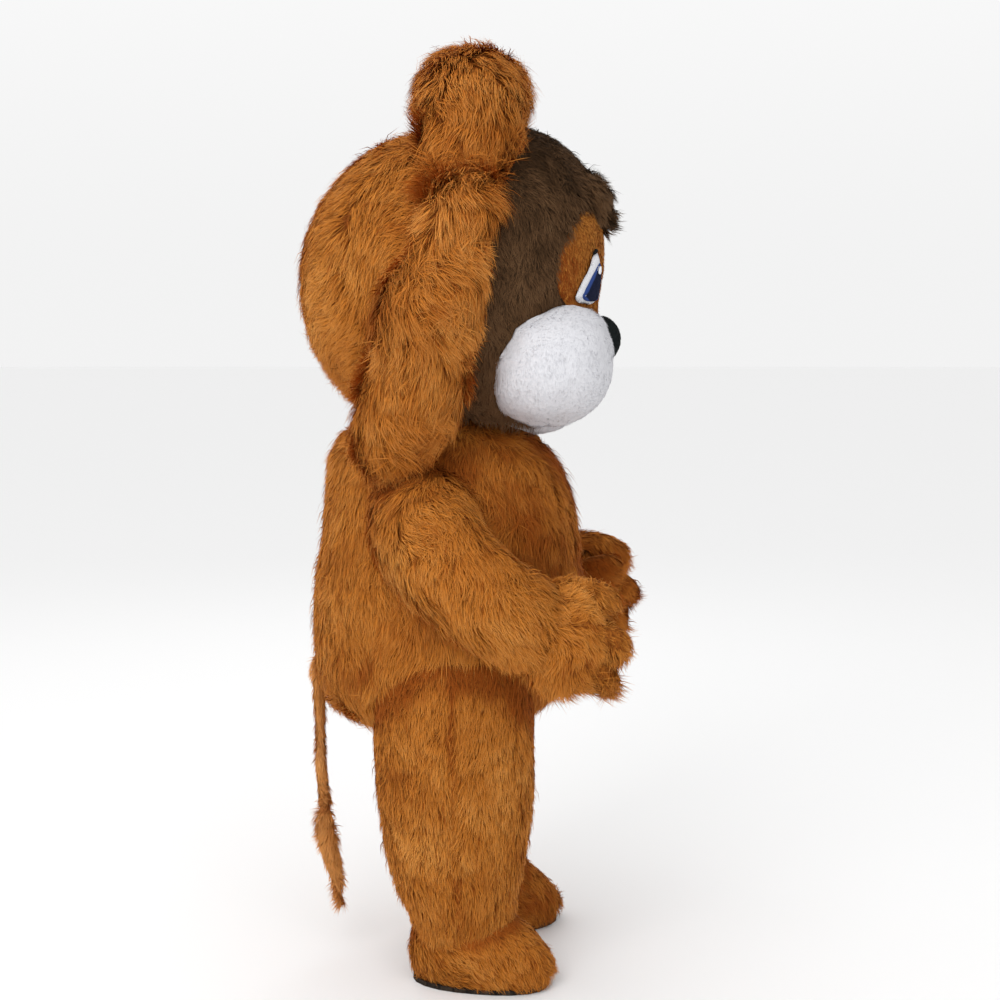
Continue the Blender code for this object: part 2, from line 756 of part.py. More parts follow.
def slab(name, surface, u, low, high, grow, collection, material):
    """Makes a flat sole from a surface's lowest outline, wider or narrower by grow."""
    ring = surface(u, np.zeros_like(u))
    centre = ring.mean(axis=0)
    out = ring - centre
    out[:, 2] = 0.0
    size = np.linalg.norm(out, axis=-1, keepdims=True)
    ring = ring + out / size * grow
    points = []
    for height in (low, high):
        points += [(p[0], p[1], height) for p in ring]
    count = len(u)
    faces = [list(range(count))[::-1], list(range(count, 2 * count))]
    faces += [[j, (j + 1) % count, count + (j + 1) % count, count + j] for j in range(count)]
    made = to_object(name, points, faces, collection, material, smooth=False)
    return made


def make_head(group, tools, paint, body_fill):
    """Builds the head's shell, its face pieces and what lies on them."""
    u_front, u_back, u_all = halves(19, 15)
    v = np.linspace(0.0, 1.0, 13)
    half_gap = SEAM_GAP / 2.0
    wall("head_back", head_surface, u_back, v, HEAD_WALL, group, paint["ginger"], False, "end", -half_gap)
    how = (False, "end", half_gap)
    face = wall("head_face", head_surface, u_front, v, HEAD_WALL, group, paint["brown"], *how)
    plate = wall("face_plate", head_surface, u_front, v, HEAD_WALL, group, paint["orange"], *how)
    outline = plate_outline()
    for prism_name, grow, target, operation in (
        ("plate_hole", half_gap, face, "DIFFERENCE"),
        ("plate_edge", -half_gap, plate, "INTERSECT"),
    ):
        tool = prism(prism_name, outline, 0.06, 0.50, grow, tools)
        cut(target, tool, operation)
    fill = solid("head_fill", head_surface, u_all, v, 1.5 * SEAM_GAP, tools, None, ("end",))
    muzzle = solid("muzzle", muzzle_surface, turn(28), np.linspace(0.0, 1.0, 15), 0.0, group, paint["white"])
    cut(muzzle, fill)
    steps = np.linspace(0.0, 1.0, 15)
    lobes = solid("muzzle_fill", muzzle_surface, turn(28), steps, 2 * SEAM_GAP, tools, None)
    jaw = ball("lower_jaw", JAW_CENTRE, JAW_HALF, 0.0, group, paint["white"], 18, 9, 2.2)
    cut(jaw, fill)
    cut(jaw, lobes)
    cut(jaw, body_fill)
    nose = ball("nose", NOSE_CENTRE, NOSE_HALF, 0.0, group, paint["black"], 16, 9, 2.2)
    cut(nose, lobes)
    cut(nose, fill)
    lock = face_pad("forelock", FORELOCK, -0.010, FORELOCK_REACH, group, paint["brown"], 2)
    cut(lock, fill)
    make_eyes(group, tools, paint, fill)
    return fill


def plate_outline():
    """The eye zone's outline in y and z: wide at the muzzle, two low peaks over the eyes."""
    half = (
        (0.000, 1.616),
        (0.045, 1.644),
        (0.100, 1.666),
        (0.150, 1.658),
        (0.195, 1.626),
        (0.226, 1.581),
        (0.236, 1.531),
        (0.222, 1.481),
        (0.180, 1.431),
        (0.110, 1.406),
        (0.000, 1.396),
    )
    left = list(half)
    right = [(-y, z) for y, z in half[1:-1]][::-1]
    return left + right


def prism(name, outline, low, high, grow, collection):
    """Makes a cutter that runs along x from an outline in y and z."""
    edge = np.array(outline)
    centre = edge.mean(axis=0)
    out = edge - centre
    size = np.linalg.norm(out, axis=-1, keepdims=True)
    edge = edge + out / size * grow
    count = len(edge)
    points = [(low, p[0], p[1]) for p in edge] + [(high, p[0], p[1]) for p in edge]
    faces = [list(range(count)), list(range(count, 2 * count))[::-1]]
    faces += [[(j + 1) % count, j, count + j, count + (j + 1) % count] for j in range(count)]
    return to_object(name, points, faces, collection, None, smooth=False)


def make_eyes(group, tools, paint, head_fill):
    """Builds each eye: a white pad, an iris, a glint and a lash above, each seated on what is under it."""
    deep = -0.004
    eyes = []
    beds = {"eye_beds": [], "iris_beds": []}
    for side, letter in ((-1.0, "right"), (1.0, "left")):
        white = teardrop(side * EYE_Y, EYE_Z, EYE_HALF_WIDTH, EYE_RISE, EYE_FALL, 20, side * EYE_LEAN)
        iris = teardrop(side * EYE_Y, EYE_Z + 0.002, 0.032, 0.066, 0.012, 16, side * 0.014)
        glint = teardrop(side * (EYE_Y - 0.012), EYE_Z + 0.052, 0.005, 0.010, 0.006, 8, 0.0)
        top = EYE_PAD
        iris_top = EYE_PAD + 0.0028
        eyes.append([
            face_pad("eye_white_" + letter, white, deep, top, group, paint["white"]),
            face_pad("eye_iris_" + letter, iris, 0.003, iris_top, group, paint["navy"], 2, 0.80),
            face_pad("eye_glint_" + letter, glint, top, iris_top + 0.0027, group, paint["white"], 1, 0.80),
            face_pad("eye_lash_" + letter, lash_outline(side), deep, 0.004, group, paint["black"], 1),
        ])
        gap = 1.2 * SEAM_GAP
        beds["eye_beds"].append(face_pad("w" + letter, white, deep, top + gap, tools, None))
        beds["iris_beds"].append(face_pad("i" + letter, iris, 0.003, iris_top + gap, tools, None, 2, 0.80))
    made = {name: joined(name, pads, tools) for name, pads in beds.items()}
    for white, iris, glint, lash in eyes:
        cut(white, head_fill)
        cut(lash, head_fill)
        cut(iris, made["eye_beds"])
        cut(glint, made["iris_beds"])


def lash_outline(side):
    """A short dark mark that lies along the outer side of the eye's tip."""
    middle = EYE_Y - EYE_LEAN
    top = EYE_Z + EYE_RISE
    points = [(side * (middle + y), top + z) for y, z in LASH]
    return points if side > 0 else points[::-1]


def make_mane(group, paint, head_fill, body_fill, armholes):
    """Builds the padded mane: a crown roll and two side rolls that rest on the shoulders."""
    u = turn(14)
    surface = mane_surface(-CROWN_END, CROWN_END, 1.0)
    crown = solid("mane_crown", surface, u, np.linspace(0.0, 1.0, 15), 0.0, group, paint["mane"], ())
    cut(crown, head_fill)
    gap_angle = math.degrees(SEAM_GAP / 0.34)
    for side, letter in ((-1.0, "right"), (1.0, "left")):
        surface = mane_surface(CROWN_END + gap_angle, 146.0, side)
        roll = solid("mane_" + letter, surface, u, np.linspace(0.0, 1.0, 21), 0.0, group, paint["mane"], ())
        cut(roll, head_fill)
        cut(roll, body_fill)
        cut(roll, armholes)


def make_body(group, tools, paint):
    """Builds the trunk's front and back with their armholes and leg openings."""
    surface = with_folds(body_surface, "body")
    v = np.linspace(0.0, 1.0, 18)
    half_gap = SEAM_GAP / 2.0
    u_front, u_back, u_all = halves(14, 14)
    skin = paint["ginger"]
    front = wall("body_front", surface, u_front, v, BODY_WALL, group, skin, False, "start", half_gap)
    back = wall("body_back", surface, u_back, v, BODY_WALL, group, skin, False, "start", -half_gap)
    fill = solid("body_fill", surface, u_all, v, 1.5 * SEAM_GAP, tools, None, ("start",))
    return front, back, fill


def make_sleeves(group, tools, paint, front, back):
    """Builds the sleeves, and cuts the armholes that they stand in."""
    fills = []
    sleeves = []
    for side, letter in ((-1.0, "right"), (1.0, "left")):
        surface = sleeve_surface(side)
        v = np.linspace(0.0, 1.0, 12)
        sleeves.append(wall("sleeve_" + letter, surface, turn(16), v, BODY_WALL, group, paint["ginger"]))
        fills.append(solid("sleeve_fill_" + letter, surface, turn(16), v, SEAM_GAP, tools, None, ()))
    both = joined("armholes", fills, tools)
    cut(front, both)
    cut(back, both)
    return sleeves, both


def make_mitts(group, tools, paint, sleeves):
    """Builds the mitts: a palm with three fingers and a thumb, hollow from the wrist."""
    palms = []
    parts = {"digit_hollows": [], "palm_hollows": [], "wrist_holes": [], "cuff_trim": []}
    axis = np.array(WRIST_AXIS) / np.linalg.norm(WRIST_AXIS)
    for side, letter in ((-1.0, "right"), (1.0, "left")):
        place = np.array(ARM_SHIFT_LEFT if side > 0 else (0.0, 0.0, 0.0))
        flip = np.array([1.0, side, 1.0])
        centre = np.array(PALM_CENTRE) * flip + place
        palms.append(ball("mitt_" + letter, centre, PALM_HALF, 0.0, group, paint["ginger"], 14, 9, 2.2))
        hollow = ball("a_" + letter, centre, PALM_HALF, -BODY_WALL, tools, None, 12, 7, 2.2)
        parts["palm_hollows"].append(hollow)
        trim = ball("b_" + letter, centre, PALM_HALF, 2 * SEAM_GAP, tools, None, 14, 9, 2.2)
        parts["cuff_trim"].append(trim)
        start = centre + axis * flip * WRIST_LENGTH
        wrist = capsule("c_" + letter, start, centre, WRIST_RADIUS, WRIST_RADIUS, tools, None, 10)
        parts["wrist_holes"].append(wrist)
        digits = ([], [])
        for number, (root, tip, root_radius, tip_radius) in enumerate(DIGIT_ROWS):
            a = np.array(root) * flip + place
            b = np.array(tip) * flip + place
            name = "d%d_%s" % (number, letter)
            digits[int(number == 1)].append(capsule(name, a, b, root_radius, tip_radius, tools, None))
            inner = (root_radius - DIGIT_WALL, tip_radius - DIGIT_WALL)
            parts["digit_hollows"].append(capsule("e" + name, a, b, inner[0], inner[1], tools, None, 6))
        for name, some in zip(("outer_digits_", "middle_digit_"), digits):
            cut(palms[-1], joined(name + letter, some, tools), "UNION")
    made = {name: joined(name, pieces, tools) for name, pieces in parts.items()}
    for palm in palms:
        for name in ("palm_hollows", "digit_hollows", "wrist_holes"):
            cut(palm, made[name])
    for sleeve in sleeves:
        cut(sleeve, made["cuff_trim"])


def make_legs(group, tools, paint, front, back):
    """Builds the legs as front and back panels, and cuts the openings that they stand in."""
    fills = []
    panels = []
    half_gap = SEAM_GAP / 2.0
    skin = paint["ginger"]
    for side, letter in ((-1.0, "right"), (1.0, "left")):
        surface = leg_surface(side)
        v = np.linspace(0.0, 1.0, 13)
        u_front, u_back, u_all = halves(10, 10)
        name = "leg_front_" + letter
        panels.append(wall(name, surface, u_front, v, BODY_WALL, group, skin, False, None, half_gap))
        name = "leg_back_" + letter
        panels.append(wall(name, surface, u_back, v, BODY_WALL, group, skin, False, None, -half_gap))
        fills.append(solid("leg_fill_" + letter, surface, u_all, v, 1.5 * SEAM_GAP, tools, None, ()))
    both = joined("leg_openings", fills, tools)
    cut(front, both)
    cut(back, both)
    return panels


def make_feet(group, tools, paint, panels):
    """Builds the foot covers and soles, and trims the legs' hems to them."""
    fills = []
    for side, letter, angle, shift in (
        (-1.0, "right", -FOOT_TURN_NEAR, 0.0),
        (1.0, "left", FOOT_TURN_FAR, FOOT_SHIFT_FAR),
    ):
        surface = foot_rows(angle, (shift, side * LEG_CENTRE_Y))
        v = np.linspace(0.0, 1.0, 7)
        wall("foot_" + letter, surface, turn(20), v, FOOT_WALL, group, paint["ginger"])
        top = FLOOR_HEIGHT + SOLE_THICKNESS
        slab("sole_" + letter, surface, turn(24), FLOOR_HEIGHT, top, -SOLE_INSET, group, paint["sole"])
        fills.append(solid("foot_fill_" + letter, surface, turn(20), v, SEAM_GAP, tools, None, ()))
    both = joined("hem_trim", fills, tools)
    for panel in panels:
        cut(panel, both)


def make_tail(group, paint, body_fill):
    """Builds the thin tail and the tuft at its end."""

    def centres(rows):
        def at(v):
            row = along(rows, v)
            return np.stack([row[..., 0], np.zeros_like(row[..., 0]), row[..., 1]], axis=-1)

        return at

    def tube(rows):
        middle = centres(rows)

        def surface(u, v):
            e = 1e-3
            ahead = middle(np.minimum(v + e, 1.0)) - middle(np.maximum(v - e, 0.0))
            ahead = ahead / np.linalg.norm(ahead, axis=-1, keepdims=True)
            side = np.zeros_like(ahead)
            side[..., 1] = 1.0
            rise = np.cross(ahead, side)
            radius = along(rows, v)[..., 2]
            c = (np.cos(u) * radius)[..., None]
            s = (np.sin(u) * radius)[..., None]
            return middle(v) + side * c + rise * s

        return surface

    v = np.linspace(0.0, 1.0, 12)
    tail = solid("tail", tube(TAIL_ROWS), turn(10), v, 0.0, group, paint["ginger"], ())
    cut(tail, body_fill)
    v = np.linspace(0.0, 1.0, 10)
    solid("tail_tuft", tube(TUFT_ROWS), turn(10), v, 0.0, group, paint["mane"], ())


def main():
    """Builds the whole costume."""
    clear_scene()
    group = new_collection("lion_mascot_costume")
    tools = new_collection("cutters")
    paint = {
        "ginger": new_material("ginger_fur", GINGER, 0.9),
        "mane": new_material("mane_fur", GINGER_MANE, 0.9),
        "brown": new_material("brown_fur", BROWN, 0.92),
        "orange": new_material("orange_fur", ORANGE, 0.92),
        "white": new_material("white_plush", WHITE, 0.9),
        "black": new_material("black_plush", BLACK, 0.85),
        "navy": new_material("navy_felt", NAVY, 0.8),
        "sole": new_material("sole_rubber", SOLE_BLACK, 0.8),
    }
    front, back, body_fill = make_body(group, tools, paint)
    head_fill = make_head(group, tools, paint, body_fill)
    sleeves, armholes = make_sleeves(group, tools, paint, front, back)
    make_mane(group, paint, head_fill, body_fill, armholes)
    make_mitts(group, tools, paint, sleeves)
    panels = make_legs(group, tools, paint, front, back)
    make_feet(group, tools, paint, panels)
    make_tail(group, paint, body_fill)
    lower = Matrix.Translation((0.0, 0.0, -HOLD_HEIGHT))
    for made in list(group.objects) + list(tools.objects):
        made.data.transform(lower)
    for tool in tools.objects:
        tool.hide_render = True
        tool.display_type = "WIRE"


main()
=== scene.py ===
import math

import bpy
import numpy as np
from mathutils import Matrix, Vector, kdtree
from mathutils.bvhtree import BVHTree


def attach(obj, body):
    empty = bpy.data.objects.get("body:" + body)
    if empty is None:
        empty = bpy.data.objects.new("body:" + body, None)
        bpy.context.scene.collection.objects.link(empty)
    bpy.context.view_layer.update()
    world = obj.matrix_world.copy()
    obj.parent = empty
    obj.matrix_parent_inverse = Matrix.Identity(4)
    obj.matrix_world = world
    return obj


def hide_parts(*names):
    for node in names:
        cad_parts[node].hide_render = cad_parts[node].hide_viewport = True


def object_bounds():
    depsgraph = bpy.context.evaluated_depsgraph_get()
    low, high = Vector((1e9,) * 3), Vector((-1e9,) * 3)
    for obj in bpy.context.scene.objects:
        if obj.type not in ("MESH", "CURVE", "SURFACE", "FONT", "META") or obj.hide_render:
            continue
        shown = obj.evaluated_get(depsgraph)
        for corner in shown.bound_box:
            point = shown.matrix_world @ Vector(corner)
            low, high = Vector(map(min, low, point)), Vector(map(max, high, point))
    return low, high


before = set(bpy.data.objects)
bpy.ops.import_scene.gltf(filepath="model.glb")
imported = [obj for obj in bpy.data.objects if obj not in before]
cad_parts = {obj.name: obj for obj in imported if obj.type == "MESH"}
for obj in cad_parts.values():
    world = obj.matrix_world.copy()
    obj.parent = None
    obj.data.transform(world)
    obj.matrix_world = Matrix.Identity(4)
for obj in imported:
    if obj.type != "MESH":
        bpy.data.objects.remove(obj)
cad_box = [[float(value) for value in corner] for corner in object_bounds()]

# Camera: it stands on the lion's right side, a little above the middle of it, and looks slightly down.
CAMERA_PLACE = (0.1072, -3.5, 0.3015)
CAMERA_PITCH = math.radians(7.2)
CAMERA_REACH = 1.619
eye = bpy.data.cameras.new("viewpoint")
eye.sensor_width = 36.0
eye.lens = CAMERA_REACH * eye.sensor_width
viewer = bpy.data.objects.new("viewpoint", eye)
viewer.location = CAMERA_PLACE
viewer.rotation_euler = (math.radians(90.0) - CAMERA_PITCH, 0.0, 0.0)
bpy.context.scene.collection.objects.link(viewer)
bpy.context.scene.camera = viewer

# Body suit: a front and a back panel of long ginger fur fabric, sewn together down the sides and over
# the shoulders. Each is a knitted backing, cut as a sheet, with its pile on it. The pile is brushed
# down, lies in loose locks and parts a little along the seams.
FLOOR = cad_box[0][2]
WELD = 2e-5
BACKING = 0.0025
LONG_PILE_DEPTH = 0.011


def unit(vectors):
    """Gives vectors of length one."""
    return vectors / np.maximum(np.linalg.norm(vectors, axis=-1, keepdims=True), 1e-9)


def smooth_normals(points, faces, rounds=2):
    """Gives each point the mean normal of its faces, evened out with its neighbours."""
    a, b, c = points[faces[:, 0]], points[faces[:, 1]], points[faces[:, 2]]
    across = np.cross(b - a, c - a)
    normals = np.zeros_like(points)
    for k in range(3):
        np.add.at(normals, faces[:, k], across)
    normals = unit(normals)
    for _ in range(rounds):
        near = normals.copy()
        for k in range(3):
            np.add.at(near, faces[:, k], 0.5 * normals[faces[:, (k + 1) % 3]])
        normals = unit(near)
    return normals


def away_from(bones, points):
    """Gives the way from the nearest place on a line of bones to each point."""
    best = np.full(len(points), np.inf)
    away = np.zeros_like(points)
    lines = np.array(bones, dtype=float)
    for start, end in lines:
        run = end - start
        size = max(float(run @ run), 1e-12)
        t = np.clip(((points - start) @ run) / size, 0.0, 1.0)
        off = points - (start + t[:, None] * run)
        far = np.linalg.norm(off, axis=1)
        nearer = far < best
        best = np.where(nearer, far, best)
        away[nearer] = off[nearer]
    return away


def node_form(node, bones=None, lean=0.30):
    """Reads a solid's surface, or only the side that faces away from its bones, as points and triangles."""
    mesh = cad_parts[node].data
    mesh.calc_loop_triangles()
    places = np.empty(3 * len(mesh.vertices), np.float32)
    mesh.vertices.foreach_get("co", places)
    corners = np.empty(3 * len(mesh.loop_triangles), np.int32)
    mesh.loop_triangles.foreach_get("vertices", corners)
    spots, where = np.unique(np.round(places.reshape(-1, 3) / WELD), axis=0, return_inverse=True)
    points = spots.astype(float) * WELD
    faces = where.reshape(-1)[corners.reshape(-1, 3)]
    a, b, c = points[faces[:, 0]], points[faces[:, 1]], points[faces[:, 2]]
    across = np.cross(b - a, c - a)
    whole = np.linalg.norm(across, axis=1) > 1e-9
    if bones is not None:
        away = away_from(bones, (a + b + c) / 3.0)
        whole &= (unit(across) * unit(away)).sum(axis=1) > lean
    faces = faces[whole]
    used, faces = np.unique(faces, return_inverse=True)
    points = points[used]
    faces = faces.reshape(-1, 3)
    return points, faces, smooth_normals(points, faces)


def refined(form, rounds=1, swell=0.72):
    """Splits each triangle in four and rounds the new points out to the smooth surface."""
    points, faces, normals = form
    for _ in range(rounds):
        edges = np.concatenate([faces[:, [0, 1]], faces[:, [1, 2]], faces[:, [2, 0]]])
        pairs, at = np.unique(np.sort(edges, axis=1), axis=0, return_inverse=True)
        a, b = points[pairs[:, 0]], points[pairs[:, 1]]
        na, nb = normals[pairs[:, 0]], normals[pairs[:, 1]]
        middle = 0.5 * (a + b)
        fall_a = ((middle - a) * na).sum(axis=1, keepdims=True) * na
        fall_b = ((middle - b) * nb).sum(axis=1, keepdims=True) * nb
        middle = middle - swell * 0.5 * (fall_a + fall_b)
        at = at.reshape(3, -1) + len(points)
        f = faces.T
        faces = np.concatenate(
            [
                np.stack([f[0], at[0], at[2]], axis=1),
                np.stack([at[0], f[1], at[1]], axis=1),
                np.stack([at[2], at[1], f[2]], axis=1),
                np.stack([at[0], at[1], at[2]], axis=1),
            ]
        )
        points = np.concatenate([points, middle])
        normals = np.concatenate([normals, unit(na + nb)])
    return points, faces, normals


def mesh_object(name, points, loops, sizes, material):
    """Makes a mesh object from points, its faces' corners in one row and the number of corners of each."""
    mesh = bpy.data.meshes.new(name)
    mesh.vertices.add(len(points))
    mesh.vertices.foreach_set("co", np.asarray(points, np.float32).reshape(-1))
    mesh.loops.add(len(loops))
    mesh.loops.foreach_set("vertex_index", np.asarray(loops, np.int32))
    starts = np.concatenate([[0], np.cumsum(sizes)[:-1]])
    mesh.polygons.add(len(sizes))
    mesh.polygons.foreach_set("loop_start", starts.astype(np.int32))
    mesh.polygons.foreach_set("use_smooth", np.full(len(sizes), True))
    mesh.update(calc_edges=True)
    mesh.materials.append(material)
    made = bpy.data.objects.new(name, mesh)
    bpy.context.scene.collection.objects.link(made)
    return made


def backing(name, form, depth, material):
    """Makes the knitted backing of a fur panel, set in from the ends of the pile, with its real thickness."""
    points, faces, normals = form
    outer = points - depth * pile_share(form)[:, None] * normals
    inner = outer - BACKING * normals
    count = len(points)
    edges = np.concatenate([faces[:, [0, 1]], faces[:, [1, 2]], faces[:, [2, 0]]])
    there = edges[:, 0] * count + edges[:, 1]
    back = edges[:, 1] * count + edges[:, 0]
    rim = edges[~np.isin(there, back)]
    a, b = rim[:, 0], rim[:, 1]
    turned = faces[:, ::-1] + count
    band = np.stack([b, a, a + count, b + count], axis=1)
    loops = np.concatenate([faces.reshape(-1), turned.reshape(-1), band.reshape(-1)])
    sizes = np.concatenate([np.full(2 * len(faces), 3), np.full(len(band), 4)])
    return mesh_object(name, np.concatenate([outer, inner]), loops, sizes, material)


def solid_tree(nodes):
    """Gives a search tree over some CAD solids."""
    points = []
    faces = []
    for node in nodes:
        spots, corners, _ = node_form(node)
        faces.append(corners + sum(len(p) for p in points))
        points.append(spots)
    return BVHTree.FromPolygons(np.concatenate(points).tolist(), np.concatenate(faces).tolist())


# Below this share of open sky a surface is covered, and no pile grows. It keeps a little of its depth.
LEAST_SKY = 0.10
COVERED_DEPTH = 0.12
solids = solid_tree(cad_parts)
# Where openness looks: rings of the sky by their angle from the surface's normal, and rays in each.
SKY_RINGS = ((0.35, 4), (0.80, 6), (1.20, 6))
sky = []
for ring, share in SKY_RINGS:
    for k in range(share):
        turn = 2.0 * math.pi * (k + ring) / share
        sky.append((math.sin(ring) * math.cos(turn), math.sin(ring) * math.sin(turn), math.cos(ring)))
sky = np.array(sky)


def openness(points, normals, stand=0.020, far=0.45):
    """Gives the share of the sky that each point of a surface sees past the other pieces."""
    side = unit(np.cross(normals, np.where(np.abs(normals[:, 2:]) < 0.8, (0.0, 0.0, 1.0), (1.0, 0.0, 0.0))))
    other = np.cross(normals, side)
    free = np.zeros(len(points))
    for i, (p, n) in enumerate(zip(points, normals)):
        start = Vector(p + stand * n)
        for x, y, z in sky:
            way = Vector(x * side[i] + y * other[i] + z * n)
            free[i] += solids.ray_cast(start, way, far)[0] is None
    return free / len(sky)


def pile_share(form):
    """Gives how much of the pile's depth each point keeps: little where another piece is sewn over it."""
    points, _, normals = form
    return np.clip(openness(points, normals) / LEAST_SKY, COVERED_DEPTH, 1.0)


def wander(points, size, seed):
    """Gives a soft random vector at each point, which turns over about the given size."""
    rng = np.random.default_rng(seed)
    total = np.zeros_like(points)
    for k in range(6):
        wave = unit(rng.normal(size=3)) * 2.0 * math.pi / (size * rng.uniform(0.8, 1.6))
        phase = rng.uniform(0.0, 2.0 * math.pi, size=3)
        total += np.sin((points @ wave)[:, None] + phase)
    return total / 2.4


def nearness(points, nodes, reach):
    """Gives how near points lie to some other solids: 1 where they meet, near 0 past the reach."""
    tree = solid_tree(nodes)
    far = 3.0 * reach
    gaps = [tree.find_nearest(Vector(p), far)[3] for p in points]
    gaps = np.array([far if gap is None else gap for gap in gaps])
    return np.exp(-((gaps / reach) ** 2))


def line_nearness(points, line, reach):
    """Gives how near points lie to a bent line: 1 on it, near 0 past the reach."""
    gaps = np.linalg.norm(away_from(list(zip(line[:-1], line[1:])), points), axis=1)
    return np.exp(-((gaps / reach) ** 2))


ROOM = [0.03 * (cad_box[1][k] - cad_box[0][k]) + 0.007 for k in range(3)]
LOWEST = np.array([cad_box[0][0] - ROOM[0], cad_box[0][1] - ROOM[1], FLOOR + 0.0015])
HIGHEST = np.array([cad_box[1][k] + ROOM[k] for k in range(3)])
# Tone of the pile: its middle, then how far it changes over wide patches, over small ones, from lock to
# lock and from hair to hair.
MIDDLE_TONE = 0.52
PATCH_SEED = 5
PATCH_SIZE = 0.19
PATCH_TONE = 0.13
MOTTLE_SIZE = 0.06
MOTTLE_TONE = 0.09
LOCK_TONE = 0.10
HAIR_TONE = 0.09
# How sharply hollow paints shade into the pile where a root sees little sky.
SKY_SHADE_POWER = 1.3
# Hairs: the spread of their lengths as a share of the range given, how they narrow, turn and are rounded.
LONG_SPREAD = (0.0, 1.0)
UNDERFUR_SPREAD = (-0.35, 0.45)
HAIR_TAPER = (1.0, 0.75)
HAIR_TWIST = 0.45
HAIR_ROUND = 0.40
LOOSE_RISE = 1.9
STEEPEST_RISE = 1.05
# How much shorter and flatter the pile lies where it comes out from under a piece, and in a parting.
UNDER_SHORTER = 0.35
UNDER_FLATTER = 0.5
PARTING_SHORTER = 0.45
PARTING_FLATTER = 0.6


